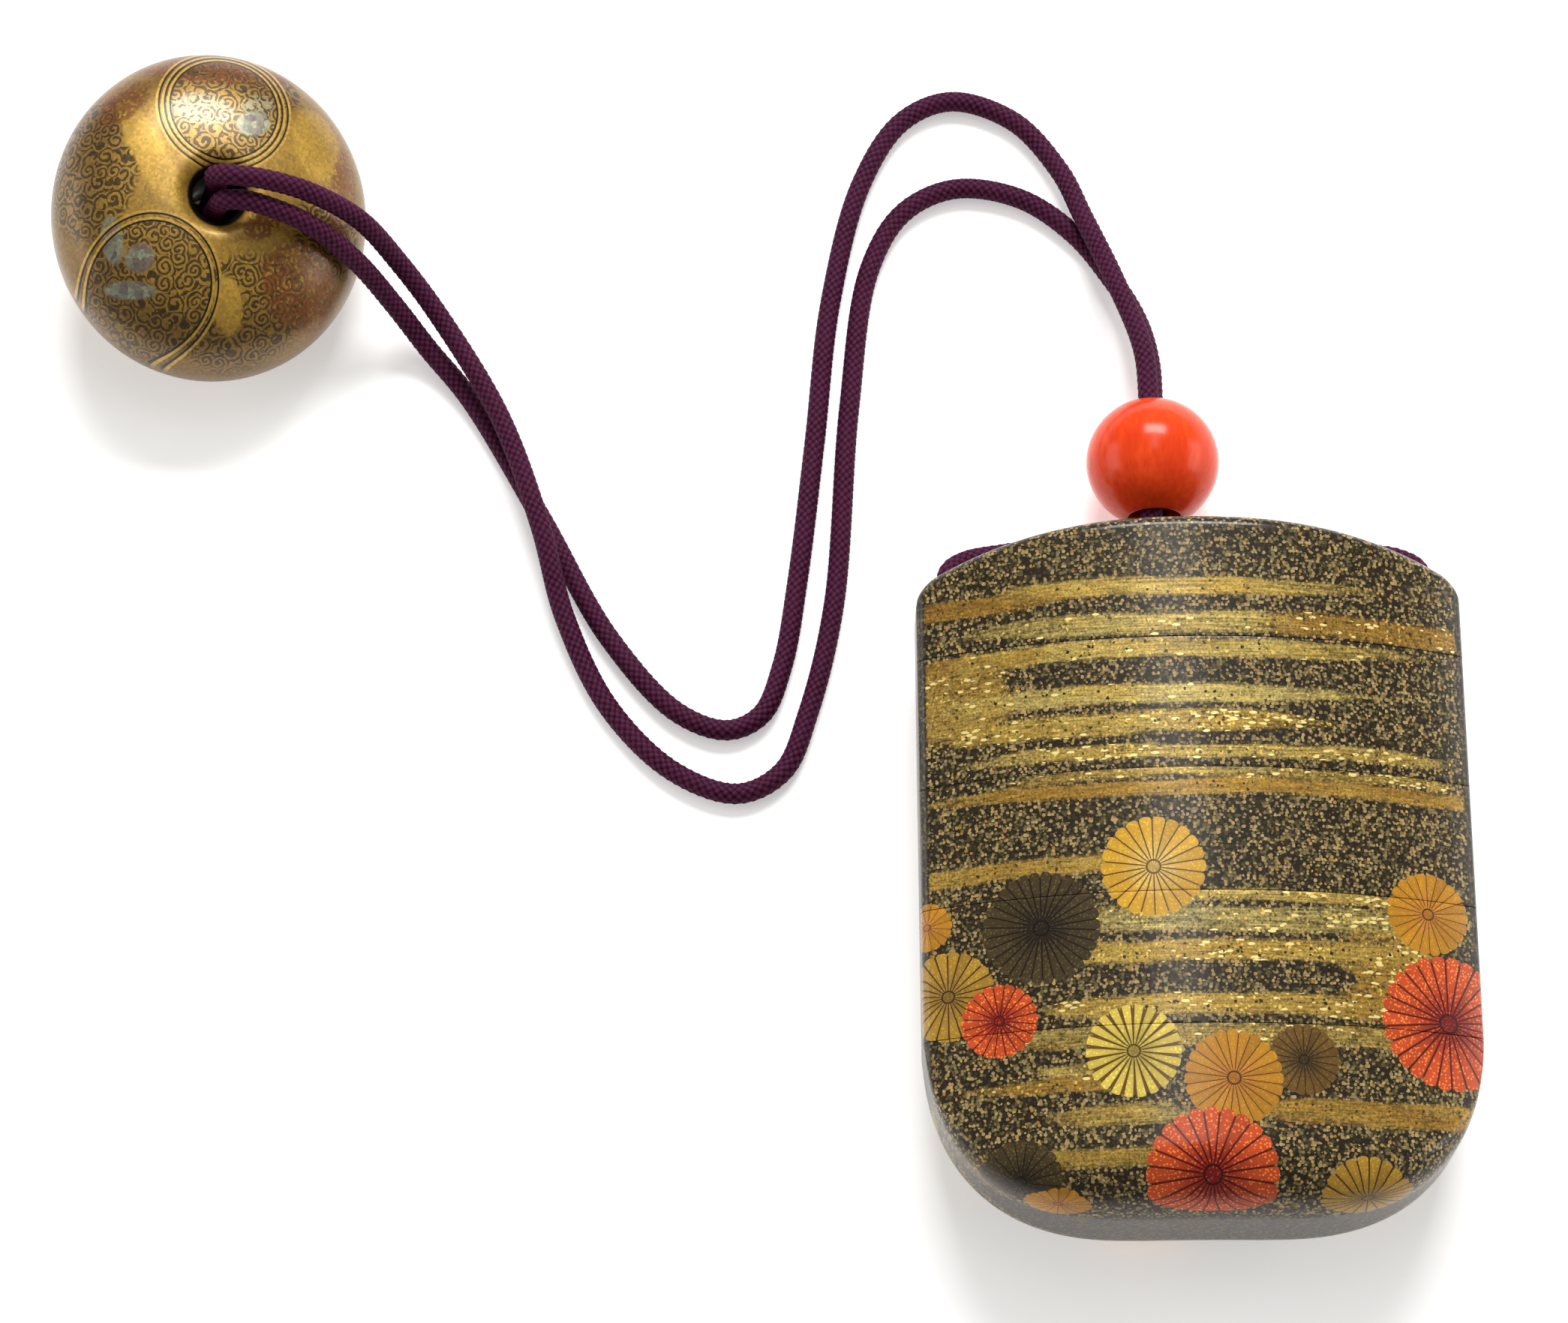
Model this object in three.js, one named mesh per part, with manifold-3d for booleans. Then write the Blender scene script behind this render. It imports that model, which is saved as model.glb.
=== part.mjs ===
// A Japanese inro: a stack of lens-shaped lacquer cases that nest by their lips, held shut by one
// silk cord. The cord runs down one side, through a channel in the base's floor and up the other side.
// Above the lid both strands pass through a round ojime bead, and they end in a knot under a
// bun-shaped netsuke. The inro lies on its back, and its cord lies on the same surface.
// Millimetres. +X is across the case, +Y points to the lid, +Z points up, out of the front.
// The origin is under the middle of the case, on the surface that it lies on.
import * as THREE from "three";
import { LoftGeometry } from "three/addons/geometries/LoftGeometry.js";
import { mergeVertices } from "three/addons/utils/BufferGeometryUtils.js";
import Module from "manifold-3d";

const wasm = await Module();
wasm.setup();

// The case as a whole
const HALF_WIDTH = 30;
const HALF_DEPTH = 12; // from the middle plane to the crown of the front
const FACE_RADIUS = 61.5; // curve of the front and of the back, seen from the lid
const SIDE_ROUND = 1.5; // where the front and the back turn into the narrow sides
const BACK_FLAT = 0.3; // shaved off the crown of the back, so that the case lies still
const MIDDLE_Z = HALF_DEPTH - BACK_FLAT; // height of the middle plane above the surface

// Heights of the tiers, from the base up to the lid
const BASE_HEIGHT = 19.6;
const CASE_HEIGHTS = { lower_case: 14.55, middle_case: 13.75, upper_case: 14.85 };
const LID_HEIGHT = 14.25;
const CASES_HEIGHT = Object.values(CASE_HEIGHTS).reduce((sum, height) => sum + height, 0);
const HALF_LENGTH = (BASE_HEIGHT + CASES_HEIGHT + LID_HEIGHT) / 2;
const SEAM = 0.16; // the fine line between two closed tiers

// The lid's dome and the shoulders beside it
const DOME_DROP = 4; // from the crown to the cord's mouths
const DOME_POWER = 2.6;
const SHOULDER = 2.2; // radius from the dome into the sides
const RIM_ROUND = 1.4; // edge between the front and the dome

// The base's rounded corners and the roll under them
const CORNER_X = 8; // where the flat underside starts to turn up
const CORNER_WIDTH = HALF_WIDTH - CORNER_X;
const CORNER_HEIGHT = 22.5;
const CORNER_POWER = 2.45;
const ROLL_SHARE = 0.82; // the roll's radius, as a share of what the face stands above the side

// Walls, lips and sockets, as insets from the outer skin
const CAVITY = { inset: 2.6, halfWidth: 22.4, round: 3, floor: 6 };
const RISER = { inset: 1.5, halfWidth: 23.5, round: 3 };
const SOCKET = { inset: 1.25, halfWidth: 23.75, round: 3 };
const OUTSIDE = { inset: 0, halfWidth: HALF_WIDTH, round: SIDE_ROUND, floor: 0 };
const RISER_HEIGHT = 4;
const SOCKET_DEPTH = 4.3;
const FLOOR = 1.3; // between a socket and the compartment above it

// Cord, runners and the channel that joins them inside the base
const CORD_RADIUS = 1.2;
const RUNNER_X = 26.5;
const RUNNER_RADIUS = 2.1;
const RUNNER_END = -22.5;
const CHANNEL_WIDTH = 3;
const CHANNEL_OUTER = 1.1; // its near wall, in from the underside
const CHANNEL_INNER = 4.1; // its far wall
const CHANNEL_REACH = 29.1; // how far across the outline it is followed
const CORD_DEPTH = 2.5; // the middle of the cord inside it

// Ojime bead
const BEAD_RADIUS = 7.5;
const BEAD_HALF_LENGTH = 7.4;
const BEAD_BORE = 2.9;
const BEAD_POWER = 2; // a true ellipse in section
const BEAD_PLACE = new THREE.Vector3(-2.7, 50.7, BEAD_RADIUS);

// Netsuke, a flattened ball drilled through and leaning towards its cord
const BUN_RADIUS = 18;
const BUN_OVAL = 1.06; // it is this much longer along Y
const BUN_HALF_HEIGHT = 10.2;
const BUN_POWER = 2.25;
const BUN_BORE = 2.8;
const BUN_MOUTH = 3.8;
const BUN_MOUTH_DEPTH = 1.6;
const KNOT_CHAMBER_RADIUS = 4.8;
const KNOT_CHAMBER_DEPTH = 7.5;
const KNOT_CHAMBER_LIP = 1; // bevel where the chamber opens underneath
const BUN_LEAN = { x: THREE.MathUtils.degToRad(8), y: THREE.MathUtils.degToRad(13) };
const BUN_PLACE = new THREE.Vector3(-110.2, 80.5, 10.45);
const KNOT_RADIUS = 3.5;
const KNOT_RISE = 0.9; // from the netsuke's underside to the bottom of the knot

// How finely the curved forms are cut
const FACE_STEPS = 24;
const ROUND_STEPS = 3;
const RUNNER_SIDES = 12;
const BEAD_SIDES = 20;
const BEAD_STEPS = 10;
const BUN_SIDES = 28;
const BUN_STEPS = 14;
const KNOT_SIDES = 10;
const KNOT_STEPS = 6;
const CORD_SIDES = 8;
const LEAST_ROUND = 0.1;
const SAME_POINT = 1e-4; // corners closer than this are one
const FAR = 200; // reaches well past every piece

// ---------------------------------------------------------------- solids and booleans

// A closed three.js geometry as a solid, with triangles that have no area left out.
function solidOf(geometry) {
  const bare = new THREE.BufferGeometry().copy(geometry);
  for (const name of ["normal", "uv"]) bare.deleteAttribute(name);
  const merged = mergeVertices(bare, SAME_POINT);
  const index = Array.from(merged.index.array);
  const corners = [];
  for (let i = 0; i < index.length; i += 3) {
    const [a, b, c] = index.slice(i, i + 3);
    if (a !== b && b !== c && c !== a) corners.push(a, b, c);
  }
  const vertProperties = merged.attributes.position.array;
  return new wasm.Manifold(new wasm.Mesh({ numProp: 3, vertProperties, triVerts: Uint32Array.from(corners) }));
}

function geometryOf(solid) {
  const { vertProperties, triVerts } = solid.getMesh();
  const geometry = new THREE.BufferGeometry();
  geometry.setAttribute("position", new THREE.BufferAttribute(vertProperties, 3));
  geometry.setIndex(new THREE.BufferAttribute(triVerts, 1));
  geometry.computeVertexNormals();
  return geometry;
}

function piece(name, geometry, { color, roughness, metalness = 0 }) {
  const mesh = new THREE.Mesh(geometry, new THREE.MeshStandardMaterial({ color, roughness, metalness }));
  mesh.name = name;
  return mesh;
}

// Everything between two heights along the case.
function slab(from, to) {
  return solidOf(new THREE.BoxGeometry(FAR, to - from, FAR).translate(0, (from + to) / 2, 0));
}

// ---------------------------------------------------------------- the form of the case

// Half the depth of the case at a place across it: a flat arc, rounded into the narrow side.
function halfDepth(x, { inset, halfWidth, round }) {
  const radius = FACE_RADIUS - inset;
  const sink = FACE_RADIUS - HALF_DEPTH;
  const roundX = halfWidth - round;
  const roundZ = Math.sqrt((radius - round) ** 2 - roundX ** 2) - sink;
  const across = Math.abs(x);
  if (across * (radius - round) <= roundX * radius) return Math.sqrt(radius ** 2 - across ** 2) - sink;
  return roundZ + Math.sqrt(Math.max(round ** 2 - (across - roundX) ** 2, 0));
}

// The lid's outline: a dome that drops by a power of the distance, then a quarter-round shoulder.
function topEdge(x) {
  const across = Math.abs(x);
  const past = Math.max(across - (HALF_WIDTH - SHOULDER), 0);
  const shoulder = SHOULDER - Math.sqrt(SHOULDER ** 2 - past ** 2);
  return HALF_LENGTH - DOME_DROP * (across / RUNNER_X) ** DOME_POWER - shoulder;
}

// The base's outline: flat in the middle, with superelliptic corners.
function bottomEdge(x) {
  const share = Math.max(Math.abs(x) - CORNER_X, 0) / CORNER_WIDTH;
  const rise = 1 - (1 - share ** CORNER_POWER) ** (1 / CORNER_POWER);
  return -HALF_LENGTH + CORNER_HEIGHT * rise;
}

// The point at one depth inside the base's outline, square to it from the place x.
function insideBottom(x, depth) {
  const reach = 0.01;
  const slope = (bottomEdge(x + reach) - bottomEdge(x - reach)) / (2 * reach);
  const share = depth / Math.hypot(1, slope);
  return [x - slope * share, bottomEdge(x) + share];
}

// Places across the case, closer together towards its narrow sides.
function placesAcross(halfWidth) {
  const places = [];
  for (let i = 0; i <= FACE_STEPS; i++) places.push(halfWidth * Math.sin((i / FACE_STEPS - 0.5) * Math.PI));
  return places;
}

// One slice through the case from lid to base: a long box whose four corners are rounded.
function lengthwiseSection(x, shell) {
  const front = halfDepth(x, shell);
  const back = Math.min(front, MIDDLE_Z - shell.inset);
  const side = halfDepth(shell.halfWidth, shell);
  const rim = Math.max(Math.min(RIM_ROUND, front - side), LEAST_ROUND);
  const roll = Math.max(ROLL_SHARE * (front - side), LEAST_ROUND);
  const top = topEdge(x) - shell.inset;
  const bottom = bottomEdge(x) + shell.floor;
  const corners = [
    { y: top - rim, z: front - rim, radius: rim },
    { y: bottom + roll, z: front - roll, radius: roll },
    { y: bottom + roll, z: roll - back, radius: roll },
    { y: top - rim, z: rim - back, radius: rim },
  ];
  return corners.flatMap(({ y, z, radius }, quarter) => {
    const points = [];
    for (let i = 0; i <= ROUND_STEPS; i++) {
      const angle = ((quarter + i / ROUND_STEPS) * Math.PI) / 2;
      points.push(new THREE.Vector3(x, y + radius * Math.cos(angle), z + radius * Math.sin(angle)));
    }
    return points;
  });
}

function shellSolid(shell) {
  const sections = placesAcross(shell.halfWidth).map((x) => lengthwiseSection(x, shell));
  return solidOf(new LoftGeometry(sections, { capStart: true, capEnd: true }));
}

// A prism of the case's lens-shaped plan, as wide as a lip or a socket.
function lensPrism(shell, from, to) {
  const places = placesAcross(shell.halfWidth);
  const front = places.map((x) => new THREE.Vector2(x, halfDepth(x, shell)));
  const back = places.map((x) => new THREE.Vector2(x, -Math.min(halfDepth(x, shell), MIDDLE_Z - shell.inset)));
  const plan = new THREE.Shape([...back, ...front.reverse()]);
  const prism = new THREE.ExtrudeGeometry(plan, { depth: to - from, bevelEnabled: false });
  return solidOf(prism.rotateX(Math.PI / 2).translate(0, to, 0));
}

// ---------------------------------------------------------------- the tiers

const outside = shellSolid(OUTSIDE);
const compartments = shellSolid(CAVITY);
const runners = [-RUNNER_X, RUNNER_X].map((x) => {
  const bore = new THREE.CylinderGeometry(RUNNER_RADIUS, RUNNER_RADIUS, FAR, RUNNER_SIDES);
  return solidOf(bore.translate(x, 0, 0));
});

// The channel in the base's floor, which takes the cord from one runner to the other.
function channelSolid() {
  const places = placesAcross(CHANNEL_REACH);
  const side = CHANNEL_WIDTH / 2;
  const top = RUNNER_END + 1; // reaches into the runners
  const outline = [
    [-RUNNER_X - side, top],
    ...places.map((x) => insideBottom(x, CHANNEL_OUTER)),
    [RUNNER_X + side, top],
    [RUNNER_X - side, top],
    ...places.map((x) => insideBottom(x, CHANNEL_INNER)).reverse(),
    [side - RUNNER_X, top],
  ];
  const shape = new THREE.Shape(outline.map(([x, y]) => new THREE.Vector2(x, y)));
  const cut = new THREE.ExtrudeGeometry(shape, { depth: CHANNEL_WIDTH, bevelEnabled: false });
  return solidOf(cut.translate(0, 0, -side));
}

const LACQUER = { color: 0x4a4636, roughness: 0.3 };

function makeTier({ name, from, to, isBase, isLid }) {
  const lowEnd = isBase ? -FAR : from + SEAM / 2;
  const highEnd = isLid ? FAR : to - SEAM / 2;
  const lipTop = to + RISER_HEIGHT;
  let tier = outside.intersect(slab(lowEnd, highEnd));
  if (!isLid) tier = tier.add(lensPrism(RISER, highEnd - RISER_HEIGHT, lipTop));
  const floor = isBase ? -FAR : from + SOCKET_DEPTH + FLOOR;
  const hollow = isLid ? slab(from - 1, FAR) : slab(floor, lipTop + 1);
  tier = tier.subtract(compartments.intersect(hollow));
  if (!isBase) tier = tier.subtract(lensPrism(SOCKET, from - 1, from + SOCKET_DEPTH));
  const runnerEnd = isBase ? RUNNER_END : -FAR;
  for (const runner of runners) tier = tier.subtract(runner.intersect(slab(runnerEnd, FAR)));
  if (isBase) tier = tier.subtract(channelSolid());
  return piece(name, geometryOf(tier), LACQUER);
}

function makeCase() {
  const heights = { base_case: BASE_HEIGHT, ...CASE_HEIGHTS, lid: LID_HEIGHT };
  const stack = new THREE.Group();
  let from = -HALF_LENGTH;
  for (const [name, height] of Object.entries(heights)) {
    const to = from + height;
    stack.add(makeTier({ name, from, to, isBase: name === "base_case", isLid: name === "lid" }));
    from = to;
  }
  stack.position.z = MIDDLE_Z;
  return stack;
}

// ---------------------------------------------------------------- bead, netsuke and knot

// A lathe turned about Y from a profile that closes on itself.
function turned(profile, sides) {
  return new THREE.LatheGeometry([...profile, profile[0].clone()], sides);
}

// A flattened round, from its lower bore edge out and up to its upper one.
function roundProfile(radius, halfHeight, power, bore, steps) {
  const start = Math.asin((bore / radius) ** (power / 2));
  const profile = [];
  for (let i = 0; i <= steps; i++) {
    const angle = start + (i / steps) * (Math.PI - 2 * start);
    const height = -halfHeight * Math.sign(Math.cos(angle)) * Math.abs(Math.cos(angle)) ** (2 / power);
    profile.push(new THREE.Vector2(radius * Math.sin(angle) ** (2 / power), height));
  }
  return profile;
}

function makeBead() {
  const profile = roundProfile(BEAD_RADIUS, BEAD_HALF_LENGTH, BEAD_POWER, BEAD_BORE, BEAD_STEPS);
  const bead = piece("ojime_bead", turned(profile, BEAD_SIDES), { color: 0xdc3a1c, roughness: 0.25 });
  bead.position.copy(BEAD_PLACE);
  return bead;
}

// A piece turned about Y is stood up on its end and leaned as the netsuke leans.
function leaned(geometry) {
  return geometry.rotateX(Math.PI / 2).scale(1, BUN_OVAL, 1).rotateY(BUN_LEAN.y).rotateX(BUN_LEAN.x);
}

function makeNetsuke() {
  const chamberRoof = KNOT_CHAMBER_DEPTH - BUN_HALF_HEIGHT;
  const outer = roundProfile(BUN_RADIUS, BUN_HALF_HEIGHT, BUN_POWER, BUN_MOUTH, BUN_STEPS);
  const profile = [
    ...outer,
    new THREE.Vector2(BUN_BORE, BUN_HALF_HEIGHT - BUN_MOUTH_DEPTH),
    new THREE.Vector2(BUN_BORE, chamberRoof),
    new THREE.Vector2(KNOT_CHAMBER_RADIUS, chamberRoof),
    new THREE.Vector2(KNOT_CHAMBER_RADIUS, outer[0].y + KNOT_CHAMBER_LIP),
  ];
  const below = new THREE.BoxGeometry(FAR, FAR, FAR).translate(0, 0, -FAR / 2 - BUN_PLACE.z);
  const bun = solidOf(leaned(turned(profile, BUN_SIDES))).subtract(solidOf(below));
  const netsuke = piece("netsuke", geometryOf(bun), { color: 0xb48a34, roughness: 0.35, metalness: 0.6 });
  netsuke.position.copy(BUN_PLACE);
  return netsuke;
}

const CORD = { color: 0x4b1a3c, roughness: 0.8 };
const KNOT_CENTRE = -BUN_HALF_HEIGHT + KNOT_RADIUS + KNOT_RISE; // along the netsuke's own axis

function makeKnot() {
  const profile = [];
  for (let i = 0; i <= KNOT_STEPS; i++) {
    const angle = (i / KNOT_STEPS) * Math.PI;
    profile.push(new THREE.Vector2(KNOT_RADIUS * Math.sin(angle), -KNOT_RADIUS * Math.cos(angle)));
  }
  const ball = new THREE.LatheGeometry(profile, KNOT_SIDES).translate(0, KNOT_CENTRE, 0);
  const knot = piece("cord_knot", leaned(ball), CORD);
  knot.position.copy(BUN_PLACE);
  return knot;
}

// ---------------------------------------------------------------- the cord

// A smooth curve through its points whose steps follow them, so tight bends get short steps.
class Route extends THREE.CatmullRomCurve3 {
  getPointAt(share, target) {
    return this.getPoint(share, target);
  }

  getTangentAt(share, target) {
    return this.getTangent(share, target);
  }
}

function makeCord(name, points) {
  const section = new THREE.Shape();
  for (let i = 0; i < CORD_SIDES; i++) {
    const angle = (i / CORD_SIDES) * 2 * Math.PI;
    const method = i === 0 ? "moveTo" : "lineTo";
    section[method](CORD_RADIUS * Math.cos(angle), CORD_RADIUS * Math.sin(angle));
  }
  const route = new Route(points.map(([x, y, z]) => new THREE.Vector3(x, y, z)));
  const steps = points.length - 1;
  return piece(name, new THREE.ExtrudeGeometry(section, { steps, extrudePath: route }), CORD);
}

// From the left runner over the lid, through the bead, round the upper loop to the netsuke.
const LEFT_ROUTE = [
  [-26.5, 30.6, 11.7], [-26.5, 33.8, 11.7], [-26.1, 36.3, 11.2], [-24.2, 37.9, 10.3], [-20, 39, 9.5],
  [-15, 39.8, 9], [-8.4, 40.4, 8.8], [-4.6, 41.3, 8.9], [-3.1, 43.9, 8.85], [-3, 58, 8.85],
  [-3.4, 64.5, 8.1], [-6.2, 74, 5.9], [-9.4, 83, 3.4], [-12, 89.8, 1.8], [-17.2, 96.4, 1.25],
  [-24.4, 99, 1.25], [-30.2, 96.5, 1.25], [-35.1, 88.6, 1.25], [-38.9, 73.5, 1.25], [-40.9, 56, 1.25],
  [-43, 39, 1.25], [-44.8, 28.8, 1.25], [-47.2, 23, 1.25], [-51, 21.2, 1.25], [-56.6, 23.3, 1.25],
  [-64.4, 32.3, 1.25], [-72.2, 46.8, 1.25], [-80.6, 61.6, 1.25], [-85.4, 67.4, 2.4],
  [-89.2, 71.4, 6.2], [-93, 74.1, 12.3], [-97.6, 75.9, 18.3], [-101.6, 76.9, 20.8],
  [-104.8, 77.5, 21.8], [-107.1, 77.8, 21.2], [-108.4, 78.2, 18.2], [-110.5, 79.3, 9],
];

// From the right runner over the lid, through the bead, round the lower loop to the netsuke.
const RIGHT_ROUTE = [
  [26.5, 30.6, 11.7], [26.5, 33.8, 11.7], [26.1, 36.3, 11.1], [24.2, 37.9, 10.1], [20, 39, 9.1],
  [15, 39.8, 8.2], [6, 40.3, 7], [1.4, 40.4, 6.5], [-1.1, 41.4, 6.2], [-2.3, 44.2, 6.2],
  [-2.3, 58, 6.2], [-2.4, 64.5, 4.7], [-3.6, 70.6, 2.6], [-6.4, 76.4, 1.3], [-10.4, 81.8, 1.25],
  [-16.6, 86.4, 1.25], [-24.2, 87.7, 1.25], [-30.2, 84.8, 1.25], [-34.3, 77.6, 1.25],
  [-36.9, 60, 1.25], [-38.9, 36, 1.25], [-41.9, 23.2, 1.25], [-44.8, 16.3, 1.25], [-49.8, 13.7, 1.25],
  [-57, 16.3, 1.25], [-64.4, 24, 1.25], [-69.4, 34.5, 2.2], [-72.2, 45, 4], [-77, 58.4, 4.1],
  [-84.2, 70.6, 5.2], [-88.5, 75.4, 9.2], [-92.4, 77.9, 15.2], [-97.6, 78.9, 20.7], [-102, 79.3, 23.2],
  [-105.6, 79.6, 23.9], [-108.1, 80.4, 22.2], [-108.4, 80.8, 18.8], [-110.5, 82.1, 9.4],
];

// Held inside the case: down the left runner, along the channel and up the right runner.
const CHANNEL_PLACES = [28.9, 28, 26, 23, 19.5, 14.5, 6];
const HELD_HALF = [
  [RUNNER_X, 30.2],
  [RUNNER_X, -20.5],
  ...CHANNEL_PLACES.map((x) => insideBottom(x, CORD_DEPTH)),
];
const HELD_ROUTE = [
  ...HELD_HALF.map(([x, y]) => [-x, y, MIDDLE_Z]),
  ...HELD_HALF.map(([x, y]) => [x, y, MIDDLE_Z]).reverse(),
];

// ---------------------------------------------------------------- the whole

const inro = new THREE.Group();
inro.add(makeCase(), makeBead(), makeNetsuke(), makeKnot());
inro.add(makeCord("cord_left", LEFT_ROUTE), makeCord("cord_right", RIGHT_ROUTE));
inro.add(makeCord("cord_held", HELD_ROUTE));

export default inro;
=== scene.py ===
"""An inro: nested lacquer cases on a silk cord, with a coral ojime bead and a gold-lacquered netsuke.

Every shape is worked out here in millimetres, in the same frame as the solids, and becomes metres
only when it goes into a mesh. +X runs across the case, +Y to its lid and +Z out of its front.
"""

import logging
import math
from dataclasses import dataclass
from enum import Enum
from functools import partial
from typing import Any, Callable

import bpy
import numpy as np
from mathutils import Matrix


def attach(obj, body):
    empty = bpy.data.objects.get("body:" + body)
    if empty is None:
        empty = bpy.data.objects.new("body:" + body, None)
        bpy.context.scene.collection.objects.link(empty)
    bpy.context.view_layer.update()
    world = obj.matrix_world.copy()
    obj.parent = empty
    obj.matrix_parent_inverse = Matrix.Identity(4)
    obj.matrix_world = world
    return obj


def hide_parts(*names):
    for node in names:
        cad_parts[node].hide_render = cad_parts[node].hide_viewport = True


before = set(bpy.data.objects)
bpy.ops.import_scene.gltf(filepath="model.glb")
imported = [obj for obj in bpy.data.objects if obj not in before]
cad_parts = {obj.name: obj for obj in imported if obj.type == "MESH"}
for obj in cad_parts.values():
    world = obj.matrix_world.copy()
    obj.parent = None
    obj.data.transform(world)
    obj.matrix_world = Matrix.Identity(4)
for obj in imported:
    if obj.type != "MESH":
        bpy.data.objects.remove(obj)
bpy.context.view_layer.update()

log = logging.getLogger("inro")
MM = 0.001

Socket = bpy.types.NodeSocket
Tree = bpy.types.NodeTree
Adder = Callable[..., Any]
Rows = np.ndarray


# ------------------------------------------------------------------ colour and nodes


def linear(code: str) -> tuple[float, float, float, float]:
    """Turns an sRGB hex colour into linear light.

    Each channel c becomes c / 12.92 below 0.04045, and ((c + 0.055) / 1.055) to the power 2.4 above.

    Args:
        code: the colour, such as "#4a4636".

    Returns:
        Red, green, blue and an alpha of 1.
    """
    channels = np.array([int(code[i : i + 2], 16) for i in (1, 3, 5)]) / 255
    light = np.where(channels <= 0.04045, channels / 12.92, ((channels + 0.055) / 1.055) ** 2.4)
    return (*light.tolist(), 1.0)


def add_node(
    tree: Tree, kind: str, *values: Any, links: dict[str, Any] | None = None, **settings: Any
) -> Any:
    """Adds one node with its settings and its inputs.

    An input takes a socket to link, a node whose first output in use is linked, or a plain value.

    Args:
        tree: the tree that takes the node.
        kind: the node's type without its "ShaderNode", and after a space its operation or data type.
        values: what the inputs in use take, in order.
        links: what further inputs take, by name.
        settings: the node's own properties; stops is a colour ramp's list of place and hex colour.

    Returns:
        The new node.
    """
    kind, _, mode = kind.partition(" ")
    node = tree.nodes.new(kind if "Node" in kind else "ShaderNode" + kind)
    if mode:
        setattr(node, "operation" if hasattr(node, "operation") else "data_type", mode)
    stops = settings.pop("stops", ())
    for name, value in settings.items():
        setattr(node, name, value)
    entries = [*zip([socket for socket in node.inputs if socket.enabled], values)]
    entries += [(node.inputs[name], value) for name, value in (links or {}).items()]
    for entry, value in entries:
        if isinstance(value, bpy.types.Node):
            value = next(socket for socket in value.outputs if socket.enabled)
        if isinstance(value, Socket):
            tree.links.new(value, entry)
        else:
            entry.default_value = value
    for number, (place, code) in enumerate(stops):
        elements = node.color_ramp.elements
        element = elements[number] if number < len(elements) else elements.new(place)
        element.position = place
        element.color = linear(code)
    return node


def new_material(name: str) -> tuple[bpy.types.Material, Adder]:
    """Makes an empty material.

    Args:
        name: the finish's own name.

    Returns:
        The material, and add_node for its tree.
    """
    material = bpy.data.materials.new(name)
    material.use_nodes = True
    material.node_tree.nodes.clear()
    return material, partial(add_node, material.node_tree)


# ------------------------------------------------------------------ meshes


def ring_quads(rows: int, around: int, closed_rows: bool = False) -> Rows:
    """Quads of a grid whose rows are closed rings.

    Corner (i, j) is number i * around + j; each quad joins two neighbours in two neighbouring rows.

    Args:
        rows: how many rings there are.
        around: points in each ring.
        closed_rows: whether the last ring joins the first.

    Returns:
        An array of four corner numbers a quad.
    """
    i = np.arange(rows if closed_rows else rows - 1)[:, None]
    j = np.arange(around)[None, :]
    upper = ((i + 1) % rows) * around
    following = (j + 1) % around
    quads = np.stack([i * around + j, i * around + following, upper + following, upper + j], axis=-1)
    return quads.reshape(-1, 4)


def weld(points: Rows, quads: Rows, values: dict[str, Rows]) -> tuple[Rows, list[Rows], dict[str, Rows]]:
    """Joins points that lie in one place and drops what that leaves of a quad.

    A quad with two equal corners becomes a triangle, and one with fewer than three different corners goes.

    Args:
        points: places, one a row.
        quads: four corner numbers a row.
        values: more columns that belong to the points.

    Returns:
        The kept points, the quads and the triangles, and the kept values.
    """
    keys = np.round(points, 5) + 0.0
    _, first, number = np.unique(keys, axis=0, return_index=True, return_inverse=True)
    quads = number.reshape(-1)[quads]
    repeat = quads == np.roll(quads, -1, axis=1)
    whole = quads[~repeat.any(axis=1)]
    broken = repeat.sum(axis=1) == 1
    three = quads[broken][~repeat[broken]].reshape(-1, 3)
    spread = (whole[:, 0] != whole[:, 2]) & (whole[:, 1] != whole[:, 3])
    three = three[(three[:, 0] != three[:, 1]) & (three[:, 1] != three[:, 2]) & (three[:, 2] != three[:, 0])]
    return points[first], [whole[spread], three], {key: value[first] for key, value in values.items()}


def enclosed(points: Rows, faces: list[Rows]) -> float:
    """The signed volume inside closed faces: a sixth of the sum of each triangle's triple product.

    Args:
        points: places, one a row.
        faces: arrays of quads and of triangles.

    Returns:
        The volume, negative where the faces point inwards.
    """
    fans = [face[:, [0, i, i + 1]] for face in faces if len(face) for i in range(1, face.shape[1] - 1)]
    corners = points[np.concatenate(fans)]
    return float(np.einsum("ij,ij->i", corners[:, 0], np.cross(corners[:, 1], corners[:, 2])).sum() / 6)


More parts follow.
